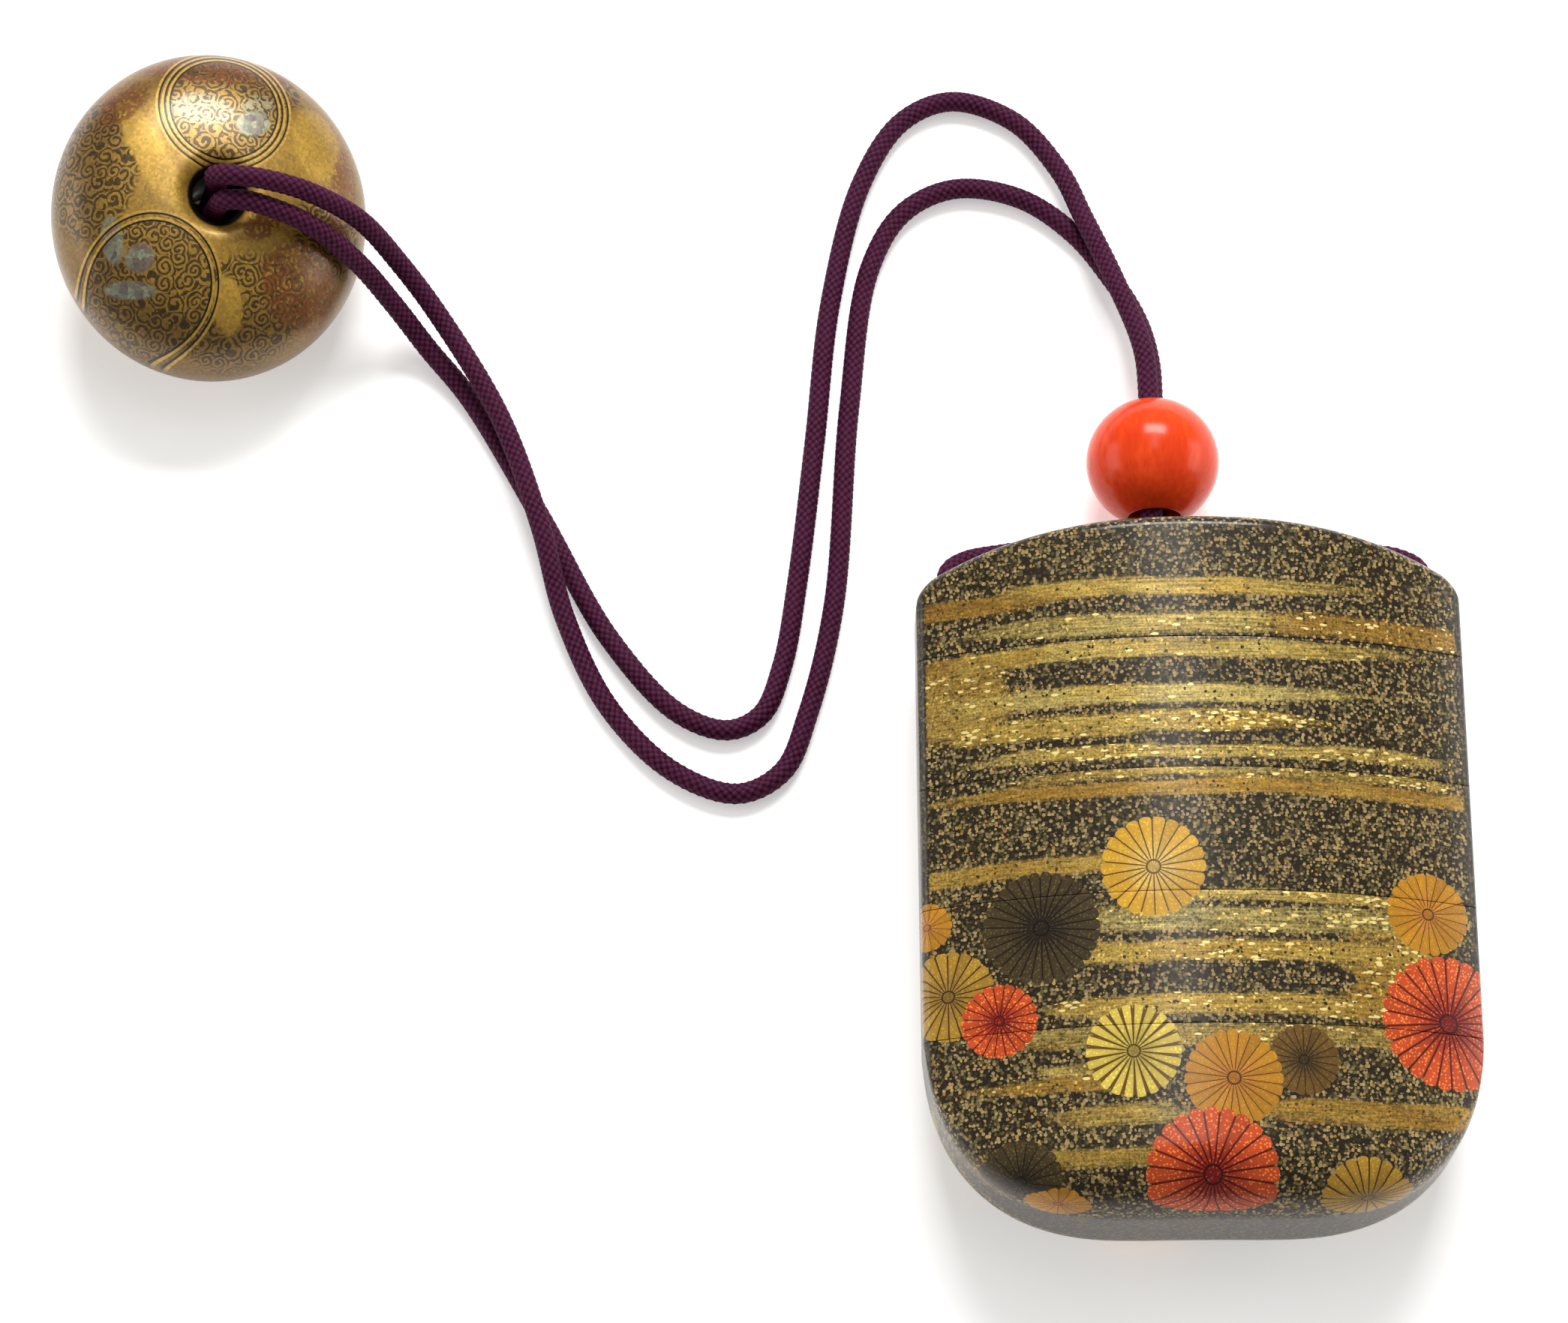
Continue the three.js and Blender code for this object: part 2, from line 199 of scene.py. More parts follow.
def build_mesh(name: str, points: Rows, faces: list[Rows], values: dict[str, Rows]) -> bpy.types.Object:
    """Makes a smooth mesh object that sits at the origin, with its faces outward.

    Args:
        name: the object's name.
        points: places in millimetres, one a row.
        faces: arrays of quads and of triangles.
        values: one number a point for each named attribute.

    Returns:
        The linked object.
    """
    if enclosed(points, faces) < 0:
        faces = [face[:, ::-1] for face in faces]
    faces = [face for face in faces if len(face)]
    sizes = np.concatenate([np.full(len(face), face.shape[1]) for face in faces])
    corners = np.concatenate([face.reshape(-1) for face in faces]).astype(np.int32)
    mesh = bpy.data.meshes.new(name)
    mesh.vertices.add(len(points))
    mesh.vertices.foreach_set("co", (points * MM).astype(np.float32).reshape(-1))
    mesh.loops.add(len(corners))
    mesh.loops.foreach_set("vertex_index", corners)
    mesh.polygons.add(len(sizes))
    starts = np.concatenate([[0], np.cumsum(sizes)[:-1]]).astype(np.int32)
    mesh.polygons.foreach_set("loop_start", starts)
    mesh.polygons.foreach_set("use_smooth", np.ones(len(sizes), dtype=bool))
    mesh.update(calc_edges=True)
    mesh.validate()
    for key, value in values.items():
        mesh.attributes.new(key, "FLOAT", "POINT").data.foreach_set("value", value.astype(np.float32))
    piece = bpy.data.objects.new(name, mesh)
    bpy.context.scene.collection.objects.link(piece)
    return piece


def corner_numbers(piece: bpy.types.Object) -> tuple[Rows, Rows]:
    """Reads which vertex and which face every face corner of a mesh belongs to.

    Args:
        piece: the mesh's object.

    Returns:
        The vertex numbers and the face numbers.
    """
    mesh = piece.data
    vertex = np.empty(len(mesh.loops), dtype=np.int32)
    mesh.loops.foreach_get("vertex_index", vertex)
    sizes = np.empty(len(mesh.polygons), dtype=np.int32)
    mesh.polygons.foreach_get("loop_total", sizes)
    return vertex, np.repeat(np.arange(len(sizes)), sizes)


def read_points(piece: bpy.types.Object) -> Rows:
    """Reads the places of a mesh's vertices.

    Args:
        piece: the mesh's object.

    Returns:
        Places in millimetres, one a row.
    """
    flat = np.empty(len(piece.data.vertices) * 3, dtype=np.float32)
    piece.data.vertices.foreach_get("co", flat)
    return flat.reshape(-1, 3).astype(float) / MM


def smooth_step(value: Rows, low: float, high: float) -> Rows:
    """Rises from 0 at low to 1 at high along 3t squared minus 2t cubed."""
    share = np.clip((value - low) / (high - low), 0, 1)
    return share * share * (3 - 2 * share)


def dress(piece: bpy.types.Object, material: bpy.types.Material, slot: str, *nodes: str) -> None:
    """Gives a piece its finish, and lets it ride and stand for its solids.

    Args:
        piece: the piece.
        material: its finish.
        slot: the record's name for that finish; not used.
        nodes: the solids it takes the place of.
    """
    piece.data.materials.clear()
    piece.data.materials.append(material)
    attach(piece, "root")
    if nodes:
        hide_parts(*nodes)


# ------------------------------------------------------------------ the form of the case

# Half the case's size each way, the arc of its faces, and the flat shaved off its back.
HALF_WIDTH = 30.0
HALF_DEPTH = 12.0
FACE_RADIUS = 61.5
BACK_FLAT = 0.3
MIDDLE_Z = HALF_DEPTH - BACK_FLAT
HALF_LENGTH = 38.5
# The lid's dome and shoulders, and the base's corners.
DOME_DROP, DOME_POWER = 4.0, 2.6
SHOULDER, RIM_ROUND = 2.2, 1.4
CORNER_X, CORNER_WIDTH = 8.0, 22.0
CORNER_HEIGHT, CORNER_POWER = 22.5, 2.45
# How the ends turn over: the base's roll as a share of its height, and the draw to the middle plane.
ROLL_SHARE = 0.82
END_DRAW = 0.04
LEAST_END, LEAST_ROUND = 0.15, 0.1
# The radius of a joint's softened edge, the gap between two tiers, and the cord's runners.
EASE = 0.04
SEAM = 0.06
RUNNER_X, RUNNER_RADIUS = 26.5, 2.1
# How many rings the end tiers have on their straight walls, as a share of their length's steps.
ROLL_WALL_SHARE, LID_WALL_SHARE = 0.8, 0.98
SHARP_EDGE = math.radians(40)


@dataclass(frozen=True)
class Shell:
    """One skin of the case: how far in it is, how wide, how round at its sides, and its floor."""

    inset: float
    half_width: float
    round: float
    floor: float = 0.0


OUTSIDE = Shell(0.0, HALF_WIDTH, 1.5)
CAVITY = Shell(2.6, 22.4, 3.0, 6.0)
RISER = Shell(1.5, 23.5, 3.0)
SOCKET = Shell(1.25, 23.75, 3.0)


def half_depth(x: Rows, shell: Shell) -> Rows:
    """Half the depth across the case: a flat arc of FACE_RADIUS, rounded into the narrow sides.

    The arc is the root of radius squared minus x squared, less the arc centre's sink; past the place
    where it meets the rounding it is the rounding's own quarter circle.

    Args:
        x: places across the case.
        shell: which skin.

    Returns:
        The height of that skin above the middle plane.
    """
    radius = FACE_RADIUS - shell.inset
    sink = FACE_RADIUS - HALF_DEPTH
    round_x = shell.half_width - shell.round
    round_z = math.sqrt((radius - shell.round) ** 2 - round_x**2) - sink
    across = np.abs(x)
    arc = np.sqrt(np.maximum(radius**2 - across**2, 0)) - sink
    turn = round_z + np.sqrt(np.maximum(shell.round**2 - (across - round_x) ** 2, 0))
    return np.where(across * (radius - shell.round) <= round_x * radius, arc, turn)


def top_edge(x: Rows) -> Rows:
    """The lid's outline: a dome that drops by a power of the distance, then a quarter-round shoulder.

    Args:
        x: places across the case.

    Returns:
        Places along the case.
    """
    across = np.abs(x)
    past = np.maximum(across - (HALF_WIDTH - SHOULDER), 0)
    shoulder = SHOULDER - np.sqrt(np.maximum(SHOULDER**2 - past**2, 0))
    return HALF_LENGTH - DOME_DROP * (across / RUNNER_X) ** DOME_POWER - shoulder


def bottom_edge(x: Rows) -> Rows:
    """The base's outline: flat in the middle, with superelliptic corners.

    Args:
        x: places across the case.

    Returns:
        Places along the case.
    """
    share = np.clip((np.abs(x) - CORNER_X) / CORNER_WIDTH, 0, 1)
    rise = 1 - (1 - share**CORNER_POWER) ** (1 / CORNER_POWER)
    return -HALF_LENGTH + CORNER_HEIGHT * rise


class End(Enum):
    """Which way a closed end of the case points."""

    LID = 1
    BASE = -1


@dataclass
class Rings:
    """Closed rings round the case: the same places across the front, down a side, the back and up.

    columns is the number of steps across the front, and side the number of steps on a narrow side.
    crowding is the share of the sine that brings the columns closer together near the sides.
    """

    columns: int = 250
    side: int = 10
    crowding: float = 0.4

    def across(self, shell: Shell) -> Rows:
        """Places across a skin: evenly spaced, with a share of a sine that crowds them at the sides.

        Args:
            shell: which skin.

        Returns:
            The places, from the left side to the right.
        """
        share = np.linspace(-1, 1, self.columns + 1)
        even = 1 - self.crowding
        return shell.half_width * (even * share + self.crowding * np.sin(share * math.pi / 2))

    def ring(self, x: Rows, y_front: Rows, z_front: Rows, y_back: Rows, z_back: Rows) -> Rows:
        """Joins a front and a back line into one ring, with straight steps down the narrow sides.

        Args:
            x: places across the case.
            y_front: places along the case on the front.
            z_front: heights above the middle plane on the front.
            y_back: the same for the back.
            z_back: the same for the back.

        Returns:
            The ring's points, one a row.
        """
        front = np.stack([x, y_front, z_front], axis=1)
        back = np.stack([x, y_back, z_back], axis=1)[::-1]
        share = np.linspace(0, 1, self.side + 1)[1:-1, None]
        right = front[-1] * (1 - share) + back[0] * share
        left = back[-1] * (1 - share) + front[0] * share
        return np.concatenate([front, right, back, left])

    def level(self, shell: Shell, y: float, trim: float = 0.0) -> Rows:
        """A flat ring round one skin, which follows its half depth and the shaved flat on the back.

        Args:
            shell: which skin.
            y: the ring's place along the case.
            trim: how far it is drawn in, where an edge is eased.

        Returns:
            The ring's points, one a row.
        """
        x = self.across(shell)
        depth = half_depth(x, shell)
        back = np.minimum(depth, MIDDLE_Z - shell.inset)
        scale = 1 - trim / shell.half_width
        level = np.full_like(x, y)
        return self.ring(x * scale, level, depth - trim, level, trim - back)

    def floor(self, shell: Shell, y: float, steps: int = 6) -> Rows:
        """Rings that close a flat floor: its edge drawn in evenly to one point at the middle.

        Args:
            shell: the skin that the floor's edge follows.
            y: the floor's place along the case.
            steps: rings from the edge in.

        Returns:
            Rings, points and coordinates, in that order.
        """
        edge = self.level(shell, y)
        share = np.linspace(1, 0, steps + 1)[1:, None, None]
        middle = np.array([0.0, y, 0.0])
        return middle + (edge - middle)[None] * share

    def cup(self, shell: Shell, end: End, cut: float, wall: int, turn: int, flat: int) -> Rows:
        """Rings from a cut across the case over a closed end, to the seam where front meets back.

        At each place across, the section runs straight up the face, round a quarter circle whose
        radius is RIM_ROUND on the lid and a share of the face's height on the base, and then
        straight in to the middle plane, drawn in across by END_DRAW so that no two rows share a line.

        Args:
            shell: which skin.
            end: the lid's end or the base's.
            cut: where along the case the rings start.
            wall: steps up the face.
            turn: steps round the quarter circle.
            flat: steps in to the middle plane.

        Returns:
            Rings, points and coordinates, in that order.
        """
        x = self.across(shell)
        front = half_depth(x, shell)
        back = np.minimum(front, MIDDLE_Z - shell.inset)
        over_side = front - half_depth(np.array([shell.half_width]), shell)
        if end is End.LID:
            radius = np.clip(over_side, LEAST_ROUND, RIM_ROUND)
        else:
            radius = np.maximum(ROLL_SHARE * over_side, LEAST_ROUND)
        way = end.value
        edge = self.outline(shell, end, x, cut)
        rows = []
        for share in np.linspace(0, 1, wall + 1)[:-1]:
            y = cut + (edge - way * radius - cut) * share
            rows.append((x, y, front, y, -back))
        for share in np.linspace(0, 1, turn + 1):
            angle = share * math.pi / 2
            y = edge - way * radius * (1 - math.sin(angle))
            drop = radius * (1 - math.cos(angle))
            rows.append((x, y, front - drop, y, drop - back))
        for share in np.linspace(1, 0, flat + 1)[1:]:
            drawn = x * (1 - END_DRAW * (1 - share))
            edge = self.outline(shell, end, drawn, cut)
            rows.append((drawn, edge, (front - radius) * share, edge, (radius - back) * share))
        return np.stack([self.ring(*row) for row in rows])

    def outline(self, shell: Shell, end: End, x: Rows, cut: float) -> Rows:
        """How far along the case a skin's closed end lies at each place across, always past the cut.

        Args:
            shell: which skin.
            end: the lid's end or the base's.
            x: places across the case.
            cut: where along the case the end's rings start.

        Returns:
            Places along the case, at least LEAST_END past the cut.
        """
        edge = top_edge(x) - shell.inset if end is End.LID else bottom_edge(x) + shell.floor
        return cut + end.value * np.maximum(end.value * (edge - cut), LEAST_END)

    def ease(self, shell: Shell, y: float, inward: int, radius: float = EASE, steps: int = 3) -> Rows:
        """A small rounded edge where a wall meets a joint: a quarter circle in rings.

        Args:
            shell: the wall's skin.
            y: the joint's place along the case.
            inward: 1 where the wall comes from below the joint, -1 where from above.
            radius: of the rounding.
            steps: rings round it.

        Returns:
            Rings, from the wall's side to the joint's face.
        """
        angles = np.linspace(0, math.pi / 2, steps + 1)
        rises = y - inward * radius * (1 - np.sin(angles))
        trims = radius * (1 - np.cos(angles))
        return np.stack([self.level(shell, rise, trim) for rise, trim in zip(rises, trims)])


# ------------------------------------------------------------------ what is painted on the case


# The height of a band's waves and their length over 2 pi, and where in its half height it fades.
LONG_WAVE, SHORT_WAVE = (0.12, 5.3), (0.07, 1.9)
BAND_BLUR = (0.6, 1.2)
LEAST_HALF = 0.01


@dataclass(frozen=True)
class Haze:
    """One drifting band of sprinkled gold powder, in millimetres on the face.

    density is the share of grains laid down, tone runs from pale 0 to orange-brown 1, flake is the
    share of coarse bright flakes, and the two fades are how far the ends taper.
    """

    low: float
    high: float
    left: float
    right: float
    density: float
    tone: float = 0.3
    flake: float = 0.0
    fade_left: float = 3.0
    fade_right: float = 3.0

    def cover(self, x: Rows, y: Rows) -> Rows:
        """How much of a place the band covers.

        The band's half height shrinks towards its ends as the root of the distance to them, and its
        cover falls from 1 to 0 over the outer part of that height.

        Args:
            x: places across the picture.
            y: places along it.

        Returns:
            The cover at each place, from 0 to 1.
        """
        middle, half = (self.low + self.high) / 2, (self.high - self.low) / 2
        ends = np.minimum((x - self.left) / self.fade_left, (self.right - x) / self.fade_right)
        taper = np.sqrt(np.clip(ends, 0, 1))
        drift = LONG_WAVE[0] * np.sin(x / LONG_WAVE[1] + self.low)
        drift += SHORT_WAVE[0] * np.sin(x / SHORT_WAVE[1] + 3 * self.high)
        off = np.abs(y - middle - drift) / np.maximum(half * taper, LEAST_HALF)
        return taper * (1 - smooth_step(off, *BAND_BLUR))


EDGE = 29.1
HAZE = (
    Haze(28.2, 30.6, -EDGE - 3, -12, 0.9, 0.8, fade_right=8),
    Haze(28.9, 31.2, -23, 22, 0.95, 0.35, fade_left=6, fade_right=18),
    Haze(24.5, 27.3, -26, 12, 0.8, 0.2, 0.2, fade_left=12, fade_right=5),
    Haze(24.3, 27.2, 5, EDGE + 4, 0.85, 0.7, 0.5, fade_left=5),
    Haze(21.8, 24.1, -27, 26, 0.98, 0.3, 0.3, fade_left=2, fade_right=16),
    Haze(21.9, 23.9, -EDGE - 2, -15, 0.95, 0.75),
    Haze(13.6, 23, -EDGE - 3, -19, 0.75, 0.55, 0.5, fade_right=3),
    Haze(16.6, 19.0, -28, 20, 1.0, 0.15, 0.15, fade_right=16),
    Haze(13.2, 16.0, -28, 16, 0.92, 0.4, 0.8, fade_right=14),
    Haze(10.4, 12.1, -26, 29, 0.82, 0.3, 0.8, fade_left=8, fade_right=6),
    Haze(8.2, 9.4, -22, 29, 0.7, 0.4, 0.7, fade_left=8),
    Haze(6.3, 8.1, -EDGE - 2, EDGE + 4, 1.0, 0.6, fade_left=12),
    Haze(-2.2, -0.1, -EDGE - 4, -9, 0.92, 0.5, fade_left=1, fade_right=1),
    Haze(-5.6, -4.3, -3, 26, 0.9, 0.3, 0.8, fade_right=3),
    Haze(-9.0, -5.9, -14, 24, 0.66, 0.1, 0.6, fade_right=3),
    Haze(-12.2, -9.7, -18, 26, 1.0, 0.45, 0.6, fade_right=5),
    Haze(-19, -7, 13, 25, 0.75, 0.6, 0.6, fade_left=3, fade_right=4),
    Haze(-18.1, -15.6, -18, 26, 0.98, 0.45, 0.6, fade_left=6, fade_right=4),
    Haze(-21.5, -18.8, -24, 26, 0.6, 0.35, 0.3, fade_left=8),
    Haze(-29.7, -26.8, 3, EDGE + 4, 0.9, 0.65, fade_left=6),
    Haze(-29.8, -27.3, -18, -2, 0.75, 0.3, fade_left=5),
    Haze(-26.1, -24.4, -27, -7, 0.92, 0.65, 0.3, fade_left=10, fade_right=2),
    Haze(-24.2, -22.8, -19, -9, 0.75, 0.3, 0.9),
    Haze(-34.2, -32.1, -22, -3, 0.8, 0.5, fade_left=5),
    Haze(-40, -31.5, -28, -15, 0.5, 1.0),
)
GAPS = (
    Haze(19.1, 21.7, -21, 22, 1, fade_left=1.6, fade_right=14),
    Haze(16.15, 16.5, -20, 16, 0.8),
    Haze(12.45, 12.85, -22, 14, 0.9),
    Haze(9.55, 9.95, -16, 20, 0.9),
    Haze(-9.55, -9.2, -12, 20, 0.7),
    Haze(-15.4, -12.6, -20, 16.2, 1, fade_left=1, fade_right=1.6),
    Haze(-18.6, -18.25, -4, 23, 0.8),
)


@dataclass(frozen=True)
class Tint:
    """A flower's colours, and its lines, gaps and stipple.

    rim and heart are its two colours, line the half width of a petal's outline as a share of the
    flower's radius, gap how far its petals stand apart, and stipple the share of bright grains.
    """

    rim: str
    heart: str
    line: float
    gap: float
    stipple: float


class Paint(Enum):
    """The coloured lacquers of the flower roundels."""

    YELLOW = Tint("#cb992b", "#d6b25c", 0.013, 0.0, 0.25)
    PALE = Tint("#d2b750", "#a8923e", 0.013, 0.25, 0.3)
    ORANGE = Tint("#b57c20", "#b5742a", 0.009, 0.0, 0.2)
    OLIVE = Tint("#a47c2c", "#8a6a2c", 0.012, 0.06, 0.3)
    RED = Tint("#bf4a22", "#86120f", 0.013, 0.03, 1.0)
    BROWN = Tint("#66491f", "#443317", 0.012, 0.0, 0.3)
    DARK = Tint("#40331d", "#2a2114", 0.012, 0.0, 0.4)


@dataclass(frozen=True)
class Bloom:
    """One chrysanthemum seen flat: its place and radius in millimetres, its petals and its paint."""

    x: float
    y: float
    radius: float
    petals: int
    paint: Paint
    on_back: bool = False


BLOOMS = (
    Bloom(-29.4, -6.3, 2.7, 16, Paint.ORANGE),
    Bloom(-17.4, -7.8, 6.3, 30, Paint.DARK),
    Bloom(-27.3, -14.3, 5.0, 22, Paint.OLIVE),
    Bloom(-22.0, -17.6, 4.1, 20, Paint.RED),
    Bloom(-5.4, -1.7, 5.65, 22, Paint.YELLOW),
    Bloom(24.2, -5.9, 4.6, 22, Paint.ORANGE),
    Bloom(25.9, -17.8, 7.5, 26, Paint.RED),
    Bloom(-8.1, -21.8, 5.1, 22, Paint.PALE),
    Bloom(9.8, -22.8, 3.9, 22, Paint.BROWN),
    Bloom(2.3, -24.9, 5.3, 24, Paint.ORANGE),
    Bloom(-20.1, -35.0, 4.4, 20, Paint.DARK),
    Bloom(-16.2, -39.3, 3.6, 18, Paint.ORANGE),
    Bloom(-0.2, -35.0, 7.1, 24, Paint.RED),
    Bloom(16.3, -38.0, 5.2, 22, Paint.OLIVE),
    Bloom(12.0, 4.0, 5.6, 24, Paint.YELLOW, on_back=True),
    Bloom(20.5, -1.5, 4.4, 22, Paint.DARK, on_back=True),
    Bloom(-16.0, -12.0, 6.2, 26, Paint.RED, on_back=True),
    Bloom(-9.0, -17.5, 5.0, 22, Paint.PALE, on_back=True),
    Bloom(14.0, -20.0, 5.4, 24, Paint.ORANGE, on_back=True),
    Bloom(4.5, -27.5, 4.6, 20, Paint.OLIVE, on_back=True),
    Bloom(-6.0, -33.0, 6.0, 24, Paint.ORANGE, on_back=True),
)
LAYERS = ("upper", "lower")
# Where the picture turns over the base's edge and the sides, and where plain grain takes over, its flecks
# thinned as painted shade.
WRAP_START = 1.6
SIDE_START, SIDE_FULL = HALF_WIDTH - 0.6, HALF_WIDTH - 0.1
STRIP_TOP, STRIP_FULL, STRIP_BLUR = 4.6, 6.0, 0.15
# How far past its rim a flower still claims a face, and where a face without a flower reads its disc.
FACE_REACH = 0.4
OFF_DISC = 3.0


def painted_place(points: Rows) -> Rows:
    """Where a point, its height taken from the middle plane, lies in the flat picture.

    The height that the point has dropped from the face's own arc is added outwards to x on the
    narrow sides, and taken from y within WRAP_START of the base's outline, so the picture runs on
    round both edges at its true scale.

    Args:
        points: places in the case's frame.

    Returns:
        The two coordinates in the picture.
    """
    x, y = points[..., 0], points[..., 1]
    drop = np.maximum(half_depth(x, OUTSIDE) - np.abs(points[..., 2]), 0)
    side = smooth_step(np.abs(x), SIDE_START, SIDE_FULL)
    near = (1 - side) * (1 - smooth_step(y - bottom_edge(x), 0.0, WRAP_START))
    return np.stack([x + np.sign(x) * side * drop, y - near * drop], axis=-1)


class Decoration:
    """Works out where each kind of paint lies on a tier, as attributes of its mesh."""

    def powder(self, points: Rows, inside: Rows) -> dict[str, Rows]:
        """The gold haze at each point: its cover, tone and share of flakes.

        The densest band's cover shows, and each gap takes its own cover away from that. Tone and
        flakes are the mean of the bands, each weighed by its cover squared, so that bands melt into
        each other. The back carries the same bands turned over.

        Args:
            points: places in the case's frame, heights from the middle plane.
            inside: 1 where the surface is bare lacquer inside the tiers.

        Returns:
            The haze, tone, flake, strip and inside attributes; strip is 1 on the narrow sides and on
            the lower part of the base's end, where the haze stops and the ground's flecks are thinned as
            painted shade.
        """
        x, y = painted_place(points).T
        x = np.where(points[:, 2] < 0, -x, x)
        best, tone, flake, weight = (np.zeros(len(points)) for _ in range(4))
        for band in HAZE:
            cover = band.density * band.cover(x, y)
            best = np.maximum(best, cover)
            tone += cover**2 * band.tone
            flake += cover**2 * band.flake
            weight += cover**2
        tone, flake = tone / np.maximum(weight, 1e-6), flake / np.maximum(weight, 1e-6)
        for gap in GAPS:
            best = best * (1 - gap.density * gap.cover(x, y))
        strip = smooth_step(np.abs(x), EDGE - STRIP_BLUR, EDGE + STRIP_BLUR)
        strip = np.maximum(strip, smooth_step(bottom_edge(x) - y, STRIP_TOP, STRIP_FULL))
        return {"haze": best * (1 - strip), "tone": tone, "flake": flake, "strip": strip, "inside": inside}

    def blooms(self, piece: bpy.types.Object) -> None:
        """Writes, for every face, the two topmost flowers that touch it.

        A flower touches a face whose middle is within its radius plus one face of its centre. The
        flower's own unit disc goes to a UV map, its two colours and its form to corner attributes.

        Args:
            piece: the tier's mesh, in its final place.
        """
        mesh = piece.data
        points = read_points(piece) - np.array([0, 0, MIDDLE_Z])
        vertex, face = corner_numbers(piece)
        corners = points[vertex]
        count = np.bincount(face)
        middle = np.stack([np.bincount(face, corners[:, i]) / count for i in range(3)], axis=1)
        on_back = middle[:, 2] < 0
        middle, corners = painted_place(middle), painted_place(corners)
        above = [np.full(len(count), -1), np.full(len(count), -1)]
        for number, bloom in enumerate(BLOOMS):
            away = np.hypot(middle[:, 0] - bloom.x, middle[:, 1] - bloom.y)
            near = (away < bloom.radius + FACE_REACH) & (on_back == bloom.on_back)
            above[1] = np.where(near, above[0], above[1])
            above[0] = np.where(near, number, above[0])
        # Each table has one more row at its end, for a face that no flower touches.
        places = np.array([(b.x, b.y, b.radius) for b in BLOOMS] + [(0, 0, 1)])
        tints = [bloom.paint.value for bloom in BLOOMS]
        rims = np.array([linear(tint.rim) for tint in tints] + [(0, 0, 0, 1)])
        hearts = np.array([linear(tint.heart) for tint in tints] + [(0, 0, 0, 1)])
        forms = np.array([(b.petals, b.paint.value.line, b.paint.value.gap) for b in BLOOMS] + [(1, 0, 0)])
        grains = np.array([tint.stipple for tint in tints] + [0.0])
        for layer, chosen in zip(LAYERS, above):
            which = chosen[face]
            place = places[which]
            disc = (corners - place[:, :2]) / place[:, 2:]
            disc = np.where(which[:, None] < 0, OFF_DISC, disc)
            flat = mesh.uv_layers.new(name=f"disc_{layer}")
            flat.data.foreach_set("uv", disc.astype(np.float32).reshape(-1))
            heart = hearts[which]
            heart[:, 3] = grains[which]
            for key, kind, values in (
                ("rim", "FLOAT_COLOR", rims[which]),
                ("heart", "FLOAT_COLOR", heart),
                ("form", "FLOAT_VECTOR", forms[which]),
            ):
                made = mesh.attributes.new(f"{key}_{layer}", kind, "CORNER")
                entry = "color" if kind == "FLOAT_COLOR" else "vector"
                made.data.foreach_set(entry, values.astype(np.float32).reshape(-1))


FLOWER_INPUTS = {
    "Disc": "Vector", "Rim": "Color", "Heart": "Color", "Grain": "Float", "Form": "Vector", "Speck": "Float",
}
FLOWER_OUTPUTS = {"Color": "Color", "Mask": "Float", "Height": "Float"}
# In shares of the flower's radius: where petals end and are notched, and the ring round the heart.
PETAL_END, PETAL_NOTCH = 0.985, -0.085
HEART_RING, HEART_LINE = 0.13, 0.018
# From where to where the heart's colour gives way to the rim's, how lines thin towards the heart, and
# how petals differ and darken at their edges, each a factor and what is added.
HEART_FADE = (0.05, 0.75)
LINE_TAPER = (4.0, 1.0, 0.3)
PETAL_SHADE, PETAL_EDGE = (0.3, 0.86), (-0.12, 1.0)
# The gap above which petals stand apart, the bright stipple, and the tint of the lines.
OPEN_FORM = 0.3
STIPPLE_GAIN, STIPPLE_LIGHT = (1.8, 2.6, 1.5), (0.08, 0.06, 0.02)
LINE_TINT = (0.2, 0.13, 0.12)


